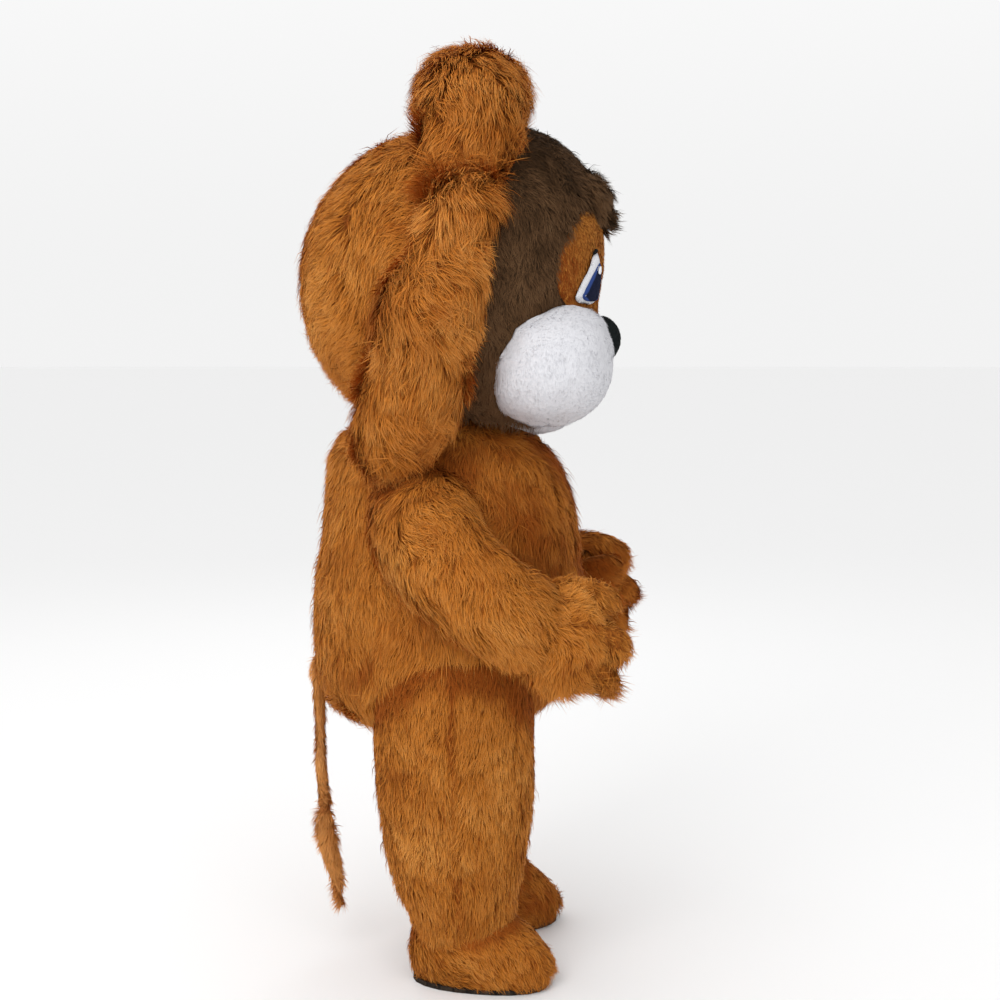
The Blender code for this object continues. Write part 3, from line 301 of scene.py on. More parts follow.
def pile(
    name,
    form,
    depth,
    count,
    material,
    length,
    flow,
    seed,
    *,
    width=0.0021,
    lift=0.46,
    droop=0.10,
    lock=0.020,
    pull=0.34,
    stray=0.30,
    swirl=0.42,
    wild=0.06,
    tone=0.0,
    hollow=0.42,
    hang=0.0,
    shade=None,
    over=(),
    under=(),
    partings=(),
):
    """Makes a fur panel's pile: flat tapered hairs in locks, rooted on the backing.

    count is how many long hairs there are, of two bends each, and how many short straight ones of the
    underfur. flow gives the way that the pile is brushed. lift is the angle at the root, droop the pull
    of gravity, lock the spacing of the locks, pull how far their tips come together, stray and wild the
    spread of the hairs. tone lightens the pile, hollow paints shade into it where little sky is seen, and
    shade changes its tone by place, with painted shade where a piece is kept from the light. over names
    the solids that the pile hangs over at its edge, where it is longer and painted lighter as painted light
    on that edge, under those that it comes out from, where it is shorter, flatter and painted darker as
    painted shade, and partings the lines where it falls to both sides, shorter, flatter and with painted
    shade in them. hang makes it longer where the cloth faces down.
    """
    rng = np.random.default_rng(seed)
    points, faces, normals = form
    free = openness(points, normals)
    corners = points[faces]
    across = np.cross(corners[:, 1] - corners[:, 0], corners[:, 2] - corners[:, 0])
    share = 0.5 * np.linalg.norm(across, axis=1) * (free[faces].mean(axis=1) > LEAST_SKY)

    def rooted(number):
        chosen = rng.choice(len(faces), size=number, p=share / share.sum())
        mix = rng.dirichlet((1.0, 1.0, 1.0), size=number)[:, :, None]
        spots = (corners[chosen] * mix).sum(axis=1)
        up = unit((normals[faces[chosen]] * mix).sum(axis=1))
        return spots, up, (free[faces[chosen]] * mix[:, :, 0]).sum(axis=1)

    def path(place, normal, lean, reach, rise, steps):
        lean = unit(lean - (lean * normal).sum(axis=1, keepdims=True) * normal)
        spots = [place]
        for k in range(steps):
            s = (k + 0.5) / steps
            angle = rise * (1.0 - s) ** 1.1 if steps > 1 else 0.62 * rise
            way = normal * np.sin(angle)[:, None] + lean * np.cos(angle)[:, None]
            way[:, 2] -= droop * (0.4 + 1.6 * s)
            spots.append(spots[-1] + unit(way) * (reach / steps)[:, None])
        return np.stack(spots, axis=1)

    head_root, head_up, _ = rooted(max(8, int(share.sum() / lock**2)))
    tree = kdtree.KDTree(len(head_root))
    for i, spot in enumerate(head_root):
        tree.insert(Vector(spot), i)
    tree.balance()
    head_lean = unit(flow(head_root, head_up)) + swirl * wander(head_root, 0.12, seed + 1)
    head_lean = head_lean + 0.30 * swirl * rng.normal(size=head_lean.shape)
    head_long = rng.uniform(0.84, 1.12, size=len(head_root))
    head_lift = lift * rng.uniform(0.70, 1.30, size=len(head_root))
    head_tone = rng.uniform(-1.0, 1.0, size=len(head_root))
    middle = 0.5 * (length[0] + length[1])
    head_base = head_root - depth * head_up

    verts = []
    loops = []
    sizes = []
    charts = []
    shades = []
    for number, steps, (low, high) in ((count[0], 2, LONG_SPREAD), (count[1], 1, UNDERFUR_SPREAD)):
        if number == 0:
            continue
        root, up, seen = rooted(number)
        mine = np.array([tree.find(Vector(p))[1] for p in root])
        size = length[0] + (length[1] - length[0]) * rng.uniform(low, high, size=number)
        rise = head_lift[mine] * rng.uniform(0.75, 1.30, size=number)
        loose = rng.uniform(size=number) < wild
        rise = np.where(loose, np.minimum(LOOSE_RISE * rise, STEEPEST_RISE), rise)
        level = MIDDLE_TONE + tone + PATCH_TONE * wander(root, PATCH_SIZE, PATCH_SEED)[:, 0]
        level += MOTTLE_TONE * wander(root, MOTTLE_SIZE, seed + 7)[:, 1] + LOCK_TONE * head_tone[mine]
        # Painted shade: hollow darkens the pile where its root sees little sky.
        level += HAIR_TONE * rng.uniform(-1.0, 1.0, size=number) - hollow * (1.0 - seen) ** SKY_SHADE_POWER
        size = size * (1.0 + hang * np.clip(-up[:, 2], 0.0, 1.0))
        if shade is not None:
            level += shade(root)
        # Painted light: the pile is lighter where it hangs over another piece's edge.
        for nodes, reach, longer, edge_light in over:
            near = nearness(root, nodes, reach)
            size = size * (1.0 + longer * near)
            level += edge_light * near
        # Painted shade: the pile is darker where it comes out from under another piece.
        for nodes, reach, painted_shade in under:
            near = nearness(root, nodes, reach)
            size = size * (1.0 - UNDER_SHORTER * near)
            rise = rise * (1.0 - UNDER_FLATTER * near)
            level -= painted_shade * near
        # Painted shade: the pile is darker in a parting.
        for line, reach, painted_shade in partings:
            near = line_nearness(root, line, reach)
            size = size * (1.0 - PARTING_SHORTER * near)
            rise = rise * (1.0 - PARTING_FLATTER * near)
            level -= painted_shade * near
        base = root - depth * up
        lean = head_lean[mine] + stray * rng.normal(size=(number, 3))
        hairs = path(base, up, lean, size * head_long[mine], rise, steps)
        core = path(head_base, head_up, head_lean, middle * head_long, head_lift, steps)
        along = np.linspace(0.0, 1.0, steps + 1)
        drawn = pull * rng.uniform(0.4, 1.15, size=number) * np.where(loose, 0.1, 1.0)
        if steps == 1:
            drawn = 0.5 * drawn
        hairs = hairs + (drawn[:, None] * along[None, :] ** 1.4)[..., None] * (core[mine] - hairs)
        hairs = np.clip(hairs, LOWEST, HIGHEST)

        run = unit(hairs[:, -1] - hairs[:, 0])
        twist = rng.normal(scale=HAIR_TWIST, size=number)
        flat = unit(np.cross(run, up))
        flat = flat * np.cos(twist)[:, None] + np.cross(run, flat) * np.sin(twist)[:, None]
        taper = np.array(HAIR_TAPER)[:steps]
        half = 0.5 * width * rng.uniform(0.7, 1.25, size=number)
        offset = flat[:, None, :] * (half[:, None] * taper[None, :])[..., None]
        pairs = np.stack([hairs[:, :steps] - offset, hairs[:, :steps] + offset], axis=2)
        per = 2 * steps + 1
        start = sum(len(v) for v in verts)
        hair_points = np.concatenate([pairs.reshape(number, 2 * steps, 3), hairs[:, steps:]], axis=1)
        verts.append(hair_points.reshape(-1, 3))
        order = [0, 1, 3, 2, 2, 3, 4] if steps == 2 else [0, 1, 2]
        loops.append((start + np.arange(number)[:, None] * per + np.array(order)[None, :]).reshape(-1))
        sizes.append(np.tile([4, 3] if steps == 2 else [3], number))

        bow = np.array([-HAIR_ROUND, HAIR_ROUND] * steps + [0.0])
        facing = up[:, None, :] + bow[None, :, None] * flat[:, None, :]
        shades.append(unit(facing + 0.20 * run[:, None, :]).reshape(-1, 3))
        chart = np.empty((number, per, 2))
        across_hair = np.array([-0.003, 0.003] * steps + [0.0])
        chart[..., 0] = (0.03 + 0.94 * np.clip(level, 0.0, 1.0))[:, None] + across_hair[None, :]
        chart[..., 1] = 0.02 + 0.96 * np.concatenate([along[:steps].repeat(2), [1.0]])[None, :]
        charts.append(chart.reshape(-1, 2))

    loops = np.concatenate(loops)
    made = mesh_object(name, np.concatenate(verts), loops, np.concatenate(sizes), material)
    layer = made.data.uv_layers.new(name="OFBake")
    layer.data.foreach_set("uv", np.concatenate(charts)[loops].astype(np.float32).reshape(-1))
    made.data.normals_split_custom_set_from_vertices(np.concatenate(shades).tolist())
    return made


def new_group(name, inputs, outputs):
    """Starts a shader node group with named inputs and outputs."""
    group = bpy.data.node_groups.new(name, "ShaderNodeTree")
    for label, kind, value in inputs:
        socket = group.interface.new_socket(label, in_out="INPUT", socket_type=kind)
        socket.default_value = value
    for label, kind in outputs:
        group.interface.new_socket(label, in_out="OUTPUT", socket_type=kind)
    return group, group.nodes.new("NodeGroupInput"), group.nodes.new("NodeGroupOutput")


def blend_node(tree, way, factor, first, second):
    """Adds a colour mix and gives its result."""
    node = tree.nodes.new("ShaderNodeMix")
    node.data_type = "RGBA"
    node.blend_type = way
    for socket, value in ((node.inputs[0], factor), (node.inputs[6], first), (node.inputs[7], second)):
        if isinstance(value, bpy.types.NodeSocket):
            tree.links.new(value, socket)
        else:
            socket.default_value = value
    return node.outputs[2]


def span_node(tree, value, low, high, to_low=0.0, to_high=1.0):
    """Adds a map from one range to another and gives its result."""
    node = tree.nodes.new("ShaderNodeMapRange")
    node.interpolation_type = "SMOOTHSTEP"
    tree.links.new(value, node.inputs[0])
    for k, number in enumerate((low, high, to_low, to_high)):
        node.inputs[k + 1].default_value = number
    return node.outputs[0]


def noise_node(tree, coordinates, scale, detail, roughness=0.6):
    """Adds a noise texture on some coordinates and gives its value."""
    node = tree.nodes.new("ShaderNodeTexNoise")
    node.inputs["Scale"].default_value = scale
    node.inputs["Detail"].default_value = detail
    node.inputs["Roughness"].default_value = roughness
    tree.links.new(coordinates, node.inputs["Vector"])
    return node.outputs[0]


# Colour of a dyed pile: dark at the roots, partly its own colour and partly painted shade deep in the pile,
# paler at worn tips, finely streaked from hair to hair, and from deep to light from lock to lock and from
# patch to patch.
pile_shades, shades_in, shades_out = new_group(
    "pile shades",
    (
        ("Root", "NodeSocketColor", (0.1, 0.03, 0.01, 1.0)),
        ("Deep", "NodeSocketColor", (0.3, 0.08, 0.01, 1.0)),
        ("Coat", "NodeSocketColor", (0.4, 0.15, 0.03, 1.0)),
        ("Light", "NodeSocketColor", (0.6, 0.25, 0.06, 1.0)),
        ("Tip", "NodeSocketColor", (0.6, 0.3, 0.1, 1.0)),
        ("Streak", "NodeSocketFloat", 0.4),
    ),
    (("Color", "NodeSocketColor"),),
)
chart_node = pile_shades.nodes.new("ShaderNodeUVMap")
chart_node.uv_map = "OFBake"
parts_node = pile_shades.nodes.new("ShaderNodeSeparateXYZ")
pile_shades.links.new(chart_node.outputs[0], parts_node.inputs[0])
stretch = pile_shades.nodes.new("ShaderNodeVectorMath")
stretch.operation = "MULTIPLY"
stretch.inputs[1].default_value = (420.0, 1.6, 1.0)
pile_shades.links.new(chart_node.outputs[0], stretch.inputs[0])
streak = noise_node(pile_shades, stretch.outputs[0], 1.0, 2.0)
tone_low = span_node(pile_shades, parts_node.outputs[0], 0.0, 0.5)
tone_high = span_node(pile_shades, parts_node.outputs[0], 0.5, 1.0)
low_colour = blend_node(pile_shades, "MIX", tone_low, shades_in.outputs["Deep"], shades_in.outputs["Coat"])
any_colour = blend_node(pile_shades, "MIX", tone_high, low_colour, shades_in.outputs["Light"])
streak_dark = span_node(pile_shades, streak, 0.30, 0.70, 0.60, 1.25)
streaked = pile_shades.nodes.new("ShaderNodeVectorMath")
streaked.operation = "SCALE"
pile_shades.links.new(any_colour, streaked.inputs[0])
pile_shades.links.new(streak_dark, streaked.inputs["Scale"])
with_streak = blend_node(
    pile_shades, "MIX", shades_in.outputs["Streak"], any_colour, streaked.outputs[0]
)
rise = span_node(pile_shades, parts_node.outputs[1], 0.02, 0.60)
worn = span_node(pile_shades, parts_node.outputs[1], 0.50, 1.0, 0.0, 0.55)
from_root = blend_node(pile_shades, "MIX", rise, shades_in.outputs["Root"], with_streak)
tip_share = pile_shades.nodes.new("ShaderNodeMath")
tip_share.operation = "MULTIPLY"
pile_shades.links.new(worn, tip_share.inputs[0])
pile_shades.links.new(parts_node.outputs[0], tip_share.inputs[1])
tipped = blend_node(pile_shades, "MIX", tip_share.outputs[0], from_root, shades_in.outputs["Tip"])
pile_shades.links.new(tipped, shades_out.inputs["Color"])

# Backing between the hairs: short crushed undercoat, with a fine uneven grain. On the furs it is as dark
# as the pile's roots, partly its own colour and partly painted shade between the hairs.
undercoat, under_in, under_out = new_group(
    "undercoat",
    (
        ("Dark", "NodeSocketColor", (0.05, 0.02, 0.01, 1.0)),
        ("Light", "NodeSocketColor", (0.3, 0.1, 0.03, 1.0)),
        ("Grain", "NodeSocketFloat", 260.0),
    ),
    (("Color", "NodeSocketColor"), ("Height", "NodeSocketFloat")),
)
under_place = undercoat.nodes.new("ShaderNodeTexCoord")
under_stretch = undercoat.nodes.new("ShaderNodeVectorMath")
under_stretch.operation = "MULTIPLY"
under_stretch.inputs[1].default_value = (1.0, 1.0, 0.28)
undercoat.links.new(under_place.outputs["Object"], under_stretch.inputs[0])
fine_noise = undercoat.nodes.new("ShaderNodeTexNoise")
fine_noise.inputs["Detail"].default_value = 3.0
undercoat.links.new(under_stretch.outputs[0], fine_noise.inputs["Vector"])
undercoat.links.new(under_in.outputs["Grain"], fine_noise.inputs["Scale"])
under_mask = span_node(undercoat, fine_noise.outputs[0], 0.30, 0.70)
under_colour = blend_node(undercoat, "MIX", under_mask, under_in.outputs["Dark"], under_in.outputs["Light"])
undercoat.links.new(under_colour, under_out.inputs["Color"])
undercoat.links.new(fine_noise.outputs[0], under_out.inputs["Height"])


def pile_material(name, root, deep, coat, light, tip, streaks=0.45, roughness=0.75):
    """Makes the material of the hairs of a fur."""
    made = bpy.data.materials.new(name)
    made.use_nodes = True
    tree = made.node_tree
    shader = tree.nodes["Principled BSDF"]
    shades = tree.nodes.new("ShaderNodeGroup")
    shades.node_tree = pile_shades
    for label, colour in (("Root", root), ("Deep", deep), ("Coat", coat), ("Light", light), ("Tip", tip)):
        shades.inputs[label].default_value = (*colour, 1.0)
    shades.inputs["Streak"].default_value = streaks
    tree.links.new(shades.outputs["Color"], shader.inputs["Base Color"])
    shader.inputs["Roughness"].default_value = roughness
    shader.inputs["Specular IOR Level"].default_value = 0.08
    return made


def backing_material(name, dark, light, grain=260.0, bump=0.35):
    """Makes the material of a fur's backing and undercoat."""
    made = bpy.data.materials.new(name)
    made.use_nodes = True
    tree = made.node_tree
    shader = tree.nodes["Principled BSDF"]
    coat = tree.nodes.new("ShaderNodeGroup")
    coat.node_tree = undercoat
    coat.inputs["Dark"].default_value = (*dark, 1.0)
    coat.inputs["Light"].default_value = (*light, 1.0)
    coat.inputs["Grain"].default_value = grain
    relief = tree.nodes.new("ShaderNodeBump")
    relief.inputs["Strength"].default_value = bump
    relief.inputs["Distance"].default_value = 0.003
    tree.links.new(coat.outputs["Color"], shader.inputs["Base Color"])
    tree.links.new(coat.outputs["Height"], relief.inputs["Height"])
    tree.links.new(relief.outputs["Normal"], shader.inputs["Normal"])
    shader.inputs["Roughness"].default_value = 0.95
    shader.inputs["Specular IOR Level"].default_value = 0.10
    return made


ginger_pile = pile_material(
    "ginger pile",
    (0.20, 0.048, 0.006),
    (0.35, 0.084, 0.009),
    (0.58, 0.192, 0.024),
    (0.75, 0.300, 0.054),
    (0.86, 0.450, 0.140),
)
# The backing is as dark as the roots: partly painted shade between the hairs.
ginger_backing = backing_material("ginger backing", (0.16, 0.044, 0.006), (0.38, 0.120, 0.016))


def on_suit(piece, slot, *nodes_for):
    """Lets a piece ride on the costume and hides the solids that it stands for. Its finish slot is not used.
    """
    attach(piece, "root")
    if nodes_for:
        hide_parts(*nodes_for)
    return piece


def brushed_down(points, normals):
    """Brushes the pile down, and outward where the cloth lies flat on the shoulders."""
    way = np.zeros_like(points)
    way[:, 2] = -1.0
    out = points * (1.0, 1.0, 0.0)
    return way + 0.9 * unit(out) * np.clip(normals[:, 2:] - 0.2, 0.0, 1.0)


LEG_NODES = ("leg_front_right", "leg_back_right", "leg_front_left", "leg_back_left")
BODY_BONES = (((-0.015, 0.0, -0.42), (-0.03, 0.0, -0.14)),)


def trunk_shade(points):
    """Deepens the chest, which the head and the forearms keep from the light."""
    return -0.30 * np.clip(points[:, 0] / 0.22, 0.0, 1.0)


for side, number in (("front", 11), ("back", 12)):
    form = refined(node_form("body_" + side, BODY_BONES))
    panel = on_suit(
        backing("body_" + side + "_cloth", form, LONG_PILE_DEPTH, ginger_backing),
        "ginger_fur",
        "body_" + side,
    )
    fur = on_suit(
        pile(
            "body_" + side + "_pile",
            form,
            LONG_PILE_DEPTH,
            (24000, 40000),
            ginger_pile,
            (0.036, 0.060),
            brushed_down,
            number,
            # Over the legs the pile is longer and painted lighter: painted light on the hem's edge.
            over=((LEG_NODES, 0.022, 0.35, 0.10),),
            shade=trunk_shade,
        ),
        "ginger_fur",
    )

# Legs: a front and a back panel of the same fur on each side, open at the hem and cut loose round the
# thigh, so that the trunk's pile hangs over their tops. A seam runs down the outside and the inside.
TRUNK_NODES = ("body_front", "body_back")
LEG_BONE_TOP = (0.008, 0.146, -0.42)
LEG_BONE_HEM = (0.020, 0.150, -1.04)


def mirrored(place, side):
    """Gives a place on the left side, or its mirror on the right."""
    return (place[0], place[1] * side, place[2])


for letter, side, number in (("right", -1.0, 21), ("left", 1.0, 31)):
    bones = ((mirrored(LEG_BONE_TOP, side), mirrored(LEG_BONE_HEM, side)),)
    for half, other in (("front", "leg_back_"), ("back", "leg_front_")):
        node = "leg_" + half + "_" + letter
        number += 1
        form = refined(node_form(node, bones))
        panel = on_suit(backing(node + "_cloth", form, LONG_PILE_DEPTH, ginger_backing), "ginger_fur", node)
        fur = on_suit(
            pile(
                node + "_pile",
                form,
                LONG_PILE_DEPTH,
                (7800, 15500),
                ginger_pile,
                (0.030, 0.048),
                brushed_down,
                number,
                # Painted shade: the pile is darker under the trunk's hem and in the seam with the other
                # panel.
                under=(
                    (TRUNK_NODES, 0.016, 0.75),
                    (TRUNK_NODES, 0.080, 0.58),
                    ((other + letter,), 0.009, 0.42),
                ),
                swirl=0.25,
                tone=0.10,
            ),
            "ginger_fur",
        )


# Sleeves: one tube of fur each, sewn shut under the arm, set into the trunk's armhole and open at the
# cuff. The pile is brushed towards the hand and sags from the arm.
ARM_SHIFT = (0.070, 0.0, -0.008)
ARM_LINE = (
    (-0.056, 0.135, -0.136),
    (-0.050, 0.205, -0.148),
    (-0.040, 0.270, -0.170),
    (-0.012, 0.332, -0.208),
    (0.050, 0.388, -0.260),
    (0.120, 0.392, -0.306),
    (0.168, 0.373, -0.333),
)

# Where the sleeve creases on its outer side, from the armhole down over the elbow, on the left. The pile is
# painted darker along it, as painted shade in the crease.
SLEEVE_CREASE = (
    (-0.121, 0.40, -0.182),
    (-0.080, 0.43, -0.213),
    (-0.029, 0.45, -0.267),
    (0.006, 0.46, -0.296),
)


def along_bones(bones, sag=0.45):
    """Gives a way of brushing the pile along a line of bones, with some sag."""
    lines = np.array(bones, dtype=float)

    def brushed(points, normals):
        best = np.full(len(points), np.inf)
        way = np.zeros_like(points)
        for start, end in lines:
            run = end - start
            t = np.clip(((points - start) @ run) / float(run @ run), 0.0, 1.0)
            far = np.linalg.norm(points - (start + t[:, None] * run), axis=1)
            nearer = far < best
            best = np.where(nearer, far, best)
            way[nearer] = run / np.linalg.norm(run)
        return way + (0.0, 0.0, -sag)

    return brushed


def arm_place(place, side, share):
    """Gives a place of the arm or hand: the left one reaches further forward."""
    shift = ARM_SHIFT if side > 0.0 else (0.0, 0.0, 0.0)
    return (place[0] + share * shift[0], place[1] * side, place[2] + share * shift[2])


def shoulder_shade(points):
    """Paints shade into the top of the sleeve, under the mane."""
    return -0.14 * np.clip((points[:, 2] + 0.20) / 0.08, 0.0, 1.0)


for letter, side, number in (("right", -1.0, 41), ("left", 1.0, 42)):
    stops = [arm_place(p, side, k / (len(ARM_LINE) - 1)) for k, p in enumerate(ARM_LINE)]
    bones = tuple(zip(stops[:-1], stops[1:]))
    node = "sleeve_" + letter
    form = refined(node_form(node, bones))
    panel = on_suit(backing(node + "_cloth", form, LONG_PILE_DEPTH, ginger_backing), "ginger_fur", node)
    crease = [(x, side * y, z) for x, y, z in SLEEVE_CREASE]
    fur = on_suit(
        pile(
            node + "_pile",
            form,
            LONG_PILE_DEPTH,
            (9400, 16000),
            ginger_pile,
            (0.034, 0.056),
            along_bones(bones, 0.9),
            number,
            over=((("mitt_" + letter,), 0.024, 0.35, 0.0), (TRUNK_NODES, 0.020, 0.30, 0.0)),
            partings=((crease, 0.014, 0.50),),
            shade=shoulder_shade,
            tone=0.05,
            hang=0.35,
        ),
        "ginger_fur",
    )


# Mitts: a palm with three fat fingers and a thumb, cut as a back and a palm side from shorter fur and
# sewn round the edge, tucked into the cuff and open at the wrist.
MITT_DEPTH = 0.008
PALM = (0.227, 0.348, -0.368)
WRIST = (0.120, 0.391, -0.308)
DIGITS = (
    ((0.250, 0.345, -0.288), (0.309, 0.320, -0.302)),
    ((0.249, 0.352, -0.358), (0.329, 0.332, -0.385)),
    ((0.240, 0.350, -0.428), (0.308, 0.332, -0.451)),
    ((0.208, 0.292, -0.344), (0.286, 0.238, -0.318)),
)
# The valleys between the fingers on the back of the hand, where the pile falls to both sides and is painted
# darker, as painted shade in the valleys.
FINGER_GAPS = (
    ((0.250, 0.410, -0.318), (0.330, 0.380, -0.345)),
    ((0.245, 0.410, -0.392), (0.330, 0.380, -0.418)),
)
for letter, side, number in (("right", -1.0, 51), ("left", 1.0, 52)):
    bones = [(arm_place(WRIST, side, 1.0), arm_place(PALM, side, 1.0))]
    for root, tip in DIGITS:
        bones.append((arm_place(PALM, side, 1.0), arm_place(root, side, 1.0)))
        bones.append((arm_place(root, side, 1.0), arm_place(tip, side, 1.0)))
    node = "mitt_" + letter
    form = refined(node_form(node, bones, 0.15))
    panel = on_suit(backing(node + "_cloth", form, MITT_DEPTH, ginger_backing), "ginger_fur", node)
    gaps = [[arm_place(place, side, 1.0) for place in gap] for gap in FINGER_GAPS]
    fur = on_suit(
        pile(
            node + "_pile",
            form,
            MITT_DEPTH,
            (6400, 9500),
            ginger_pile,
            (0.026, 0.044),
            along_bones(bones, 0.7),
            number,
            partings=tuple((gap, 0.012, 0.45) for gap in gaps),
            droop=0.20,
            lift=0.40,
            hang=0.80,
            # The far left mitt is painted darker: painted shade.
            tone=0.12 if letter == "right" else -0.20,
        ),
        "ginger_fur",
    )


# Foot covers: fur cut as a top with a heel, sewn round a sole and hollow inside. The sole is a matt
# black rubber sheet, rough underneath and scuffed at its edge.
FOOT_DEPTH = 0.008
FOOT_BONES = {
    "right": (((-0.02, -0.145, -1.09), (0.14, -0.165, -1.12)),),
    "left": (((0.02, 0.140, -1.09), (0.16, 0.190, -1.12)),),
}


def brushed_to_toe(points, normals):
    """Brushes the pile forward over the toes and down the sides."""
    way = np.zeros_like(points)
    way[:, 0] = 0.65
    way[:, 2] = -0.75
    return way + 0.4 * normals * (1.0, 1.0, 0.0)


for letter, number in (("right", 61), ("left", 62)):
    node = "foot_" + letter
    form = refined(node_form(node, FOOT_BONES[letter], 0.2))
    panel = on_suit(backing(node + "_cloth", form, FOOT_DEPTH, ginger_backing), "ginger_fur", node)
    fur = on_suit(
        pile(
            node + "_pile",
            form,
            FOOT_DEPTH,
            (4300, 7200),
            ginger_pile,
            (0.024, 0.040),
            brushed_to_toe,
            number,
            # Painted shade: the pile is darker under the leg's hem.
            under=((("leg_front_" + letter, "leg_back_" + letter), 0.014, 0.45),),
            # The far left foot is painted darker: painted shade.
            tone=-0.02 if letter == "right" else -0.32,
        ),
        "ginger_fur",
    )

rubber = backing_material("sole rubber", (0.010, 0.008, 0.007), (0.050, 0.036, 0.026), 120.0, 0.5)
for letter in ("right", "left"):
    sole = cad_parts["sole_" + letter]
    sole.data.materials.clear()
    sole.data.materials.append(rubber)


# Tail: a thin stuffed cord of short fur, sewn to the seat, which ends in a longer tuft.
def stuffed(name, form, depth, material):
    """Makes a stuffed piece's own surface, set in from the ends of its pile."""
    points, faces, normals = form
    inset = depth * pile_share(form)[:, None] * normals
    return mesh_object(name, points - inset, faces.reshape(-1), np.full(len(faces), 3), material)


tail_pile = pile_material(
    "tail pile",
    (0.34, 0.110, 0.022),
    (0.46, 0.170, 0.035),
    (0.71, 0.300, 0.080),
    (0.77, 0.375, 0.125),
    (0.83, 0.480, 0.205),
)
for node, slot, depth, length, count, number in (
    ("tail", "ginger_fur", 0.008, (0.018, 0.032), (2200, 2200), 71),
    ("tail_tuft", "mane_fur", 0.012, (0.024, 0.042), (1900, 1600), 72),
):
    form = refined(node_form(node))
    core = on_suit(stuffed(node + "_core", form, depth, ginger_backing), slot, node)
    on_suit(
        pile(
            node + "_pile",
            form,
            depth,
            count,
            tail_pile,
            length,
            brushed_down,
            number,
            lock=0.016,
            lift=0.28,
            tone=0.05,
            hollow=0.1,
        ),
        slot,
    )


# Head: a foam-backed hood of long fur behind, closed on the crown and open at the neck, where it rests
# on the shoulders. Its pile is brushed back from the mane and down.
HEAD_DEPTH = 0.014
HEAD_BONES = (((0.0, 0.0, 0.326), (0.0, 0.0, 0.327)),)


def brushed_back(points, normals):
    """Brushes the pile back over the crown and down behind."""
    way = np.zeros_like(points)
    way[:, 0] = -0.55
    way[:, 2] = -0.85
    return way


form = refined(node_form("head_back", HEAD_BONES))
panel = on_suit(backing("head_back_cloth", form, HEAD_DEPTH, ginger_backing), "ginger_fur", "head_back")
fur = on_suit(
    pile(
        "head_back_pile",
        form,
        HEAD_DEPTH,
        (15500, 27000),
        ginger_pile,
        (0.038, 0.062),
        brushed_back,
        81,
        lift=0.52,
    ),
    "ginger_fur",
)

# Face: short dark brown fur over the brow and cheeks, with a round zone of short orange fur let in
# round the eyes, both sewn edge to edge on the hood's foam.
SHORT_PILE_DEPTH = 0.008
brown_pile = pile_material(
    "brown pile",
    (0.034, 0.017, 0.007),
    (0.058, 0.029, 0.012),
    (0.142, 0.072, 0.032),
    (0.206, 0.115, 0.056),
    (0.265, 0.158, 0.082),
    0.35,
)
brown_backing = backing_material("brown backing", (0.024, 0.014, 0.007), (0.070, 0.040, 0.020))
orange_pile = pile_material(
    "orange pile",
    (0.21, 0.056, 0.008),
    (0.26, 0.052, 0.006),
    (0.53, 0.200, 0.032),
    (0.62, 0.262, 0.056),
    (0.68, 0.345, 0.095),
    0.25,
)
orange_backing = backing_material("orange backing", (0.23, 0.068, 0.010), (0.44, 0.160, 0.028))
MUZZLE_NODES = ("muzzle", "lower_jaw")


def brushed_cheek(points, normals):
    """Brushes the short pile down, and forward over the brow."""
    way = np.zeros_like(points)
    way[:, 0] = 0.12
    way[:, 2] = -0.9
    return way


def face_shade(points):
    """Darkens the brown pile toward the crown, and lightens it lower down."""
    return -0.34 * np.clip((points[:, 2] - 0.30) / 0.30, -0.6, 1.0)


def plate_shade(points):
    """Reddens the orange zone toward its outer edge."""
    return -0.58 * np.clip((0.285 - points[:, 0]) / 0.05, 0.0, 1.0)


for node, slot, coat, under, count, length, flat, area, shade, over, number in (
    (
        "head_face",
        "brown_fur",
        brown_pile,
        brown_backing,
        (9500, 33000),
        (0.020, 0.034),
        (0.96, 0.82),
        0.55,
        face_shade,
        # Over the muzzle and forelock the pile is longer, and over the muzzle painted lighter: painted light
        # on its edge.
        ((MUZZLE_NODES, 0.020, 0.80, 0.06), (("forelock",), 0.020, 0.80, 0.0)),
        82,
    ),
    (
        "face_plate",
        "orange_fur",
        orange_pile,
        orange_backing,
        (1200, 9000),
        (0.010, 0.016),
        (0.52, 0.30),
        0.135,
        plate_shade,
        (),
        83,
    ),
):
    form = refined(node_form(node, HEAD_BONES, 0.45))
    panel = on_suit(backing(node + "_cloth", form, SHORT_PILE_DEPTH, under), slot, node)
    fur = on_suit(
        pile(
            node + "_pile",
            form,
            SHORT_PILE_DEPTH,
            count,
            coat,
            length,
            brushed_cheek,
            number,
            over=over,
            shade=shade,
            lock=0.014,
            pull=0.22,
            width=0.0018,
            droop=0.03,
            lift=0.44,
        ),
        slot,
    )


# Forelock: a tuft of longer brown fur sewn on at the hair line, which hangs over the orange zone.
def brushed_forward(points, normals):
    """Brushes the pile forward and down over the brow."""
    way = np.zeros_like(points)
    way[:, 0] = 0.5
    way[:, 2] = -0.85
    return way


form = refined(node_form("forelock"))
core = on_suit(stuffed("forelock_core", form, 0.012, brown_backing), "brown_fur", "forelock")
on_suit(
    pile(
        "forelock_pile",
        form,
        0.012,
        (3600, 2400),
        brown_pile,
        (0.026, 0.050),
        brushed_forward,
        84,
        lock=0.018,
        pull=0.80,
        stray=0.30,
        lift=0.36,
        tone=-0.12,
    ),
    "brown_fur",
)

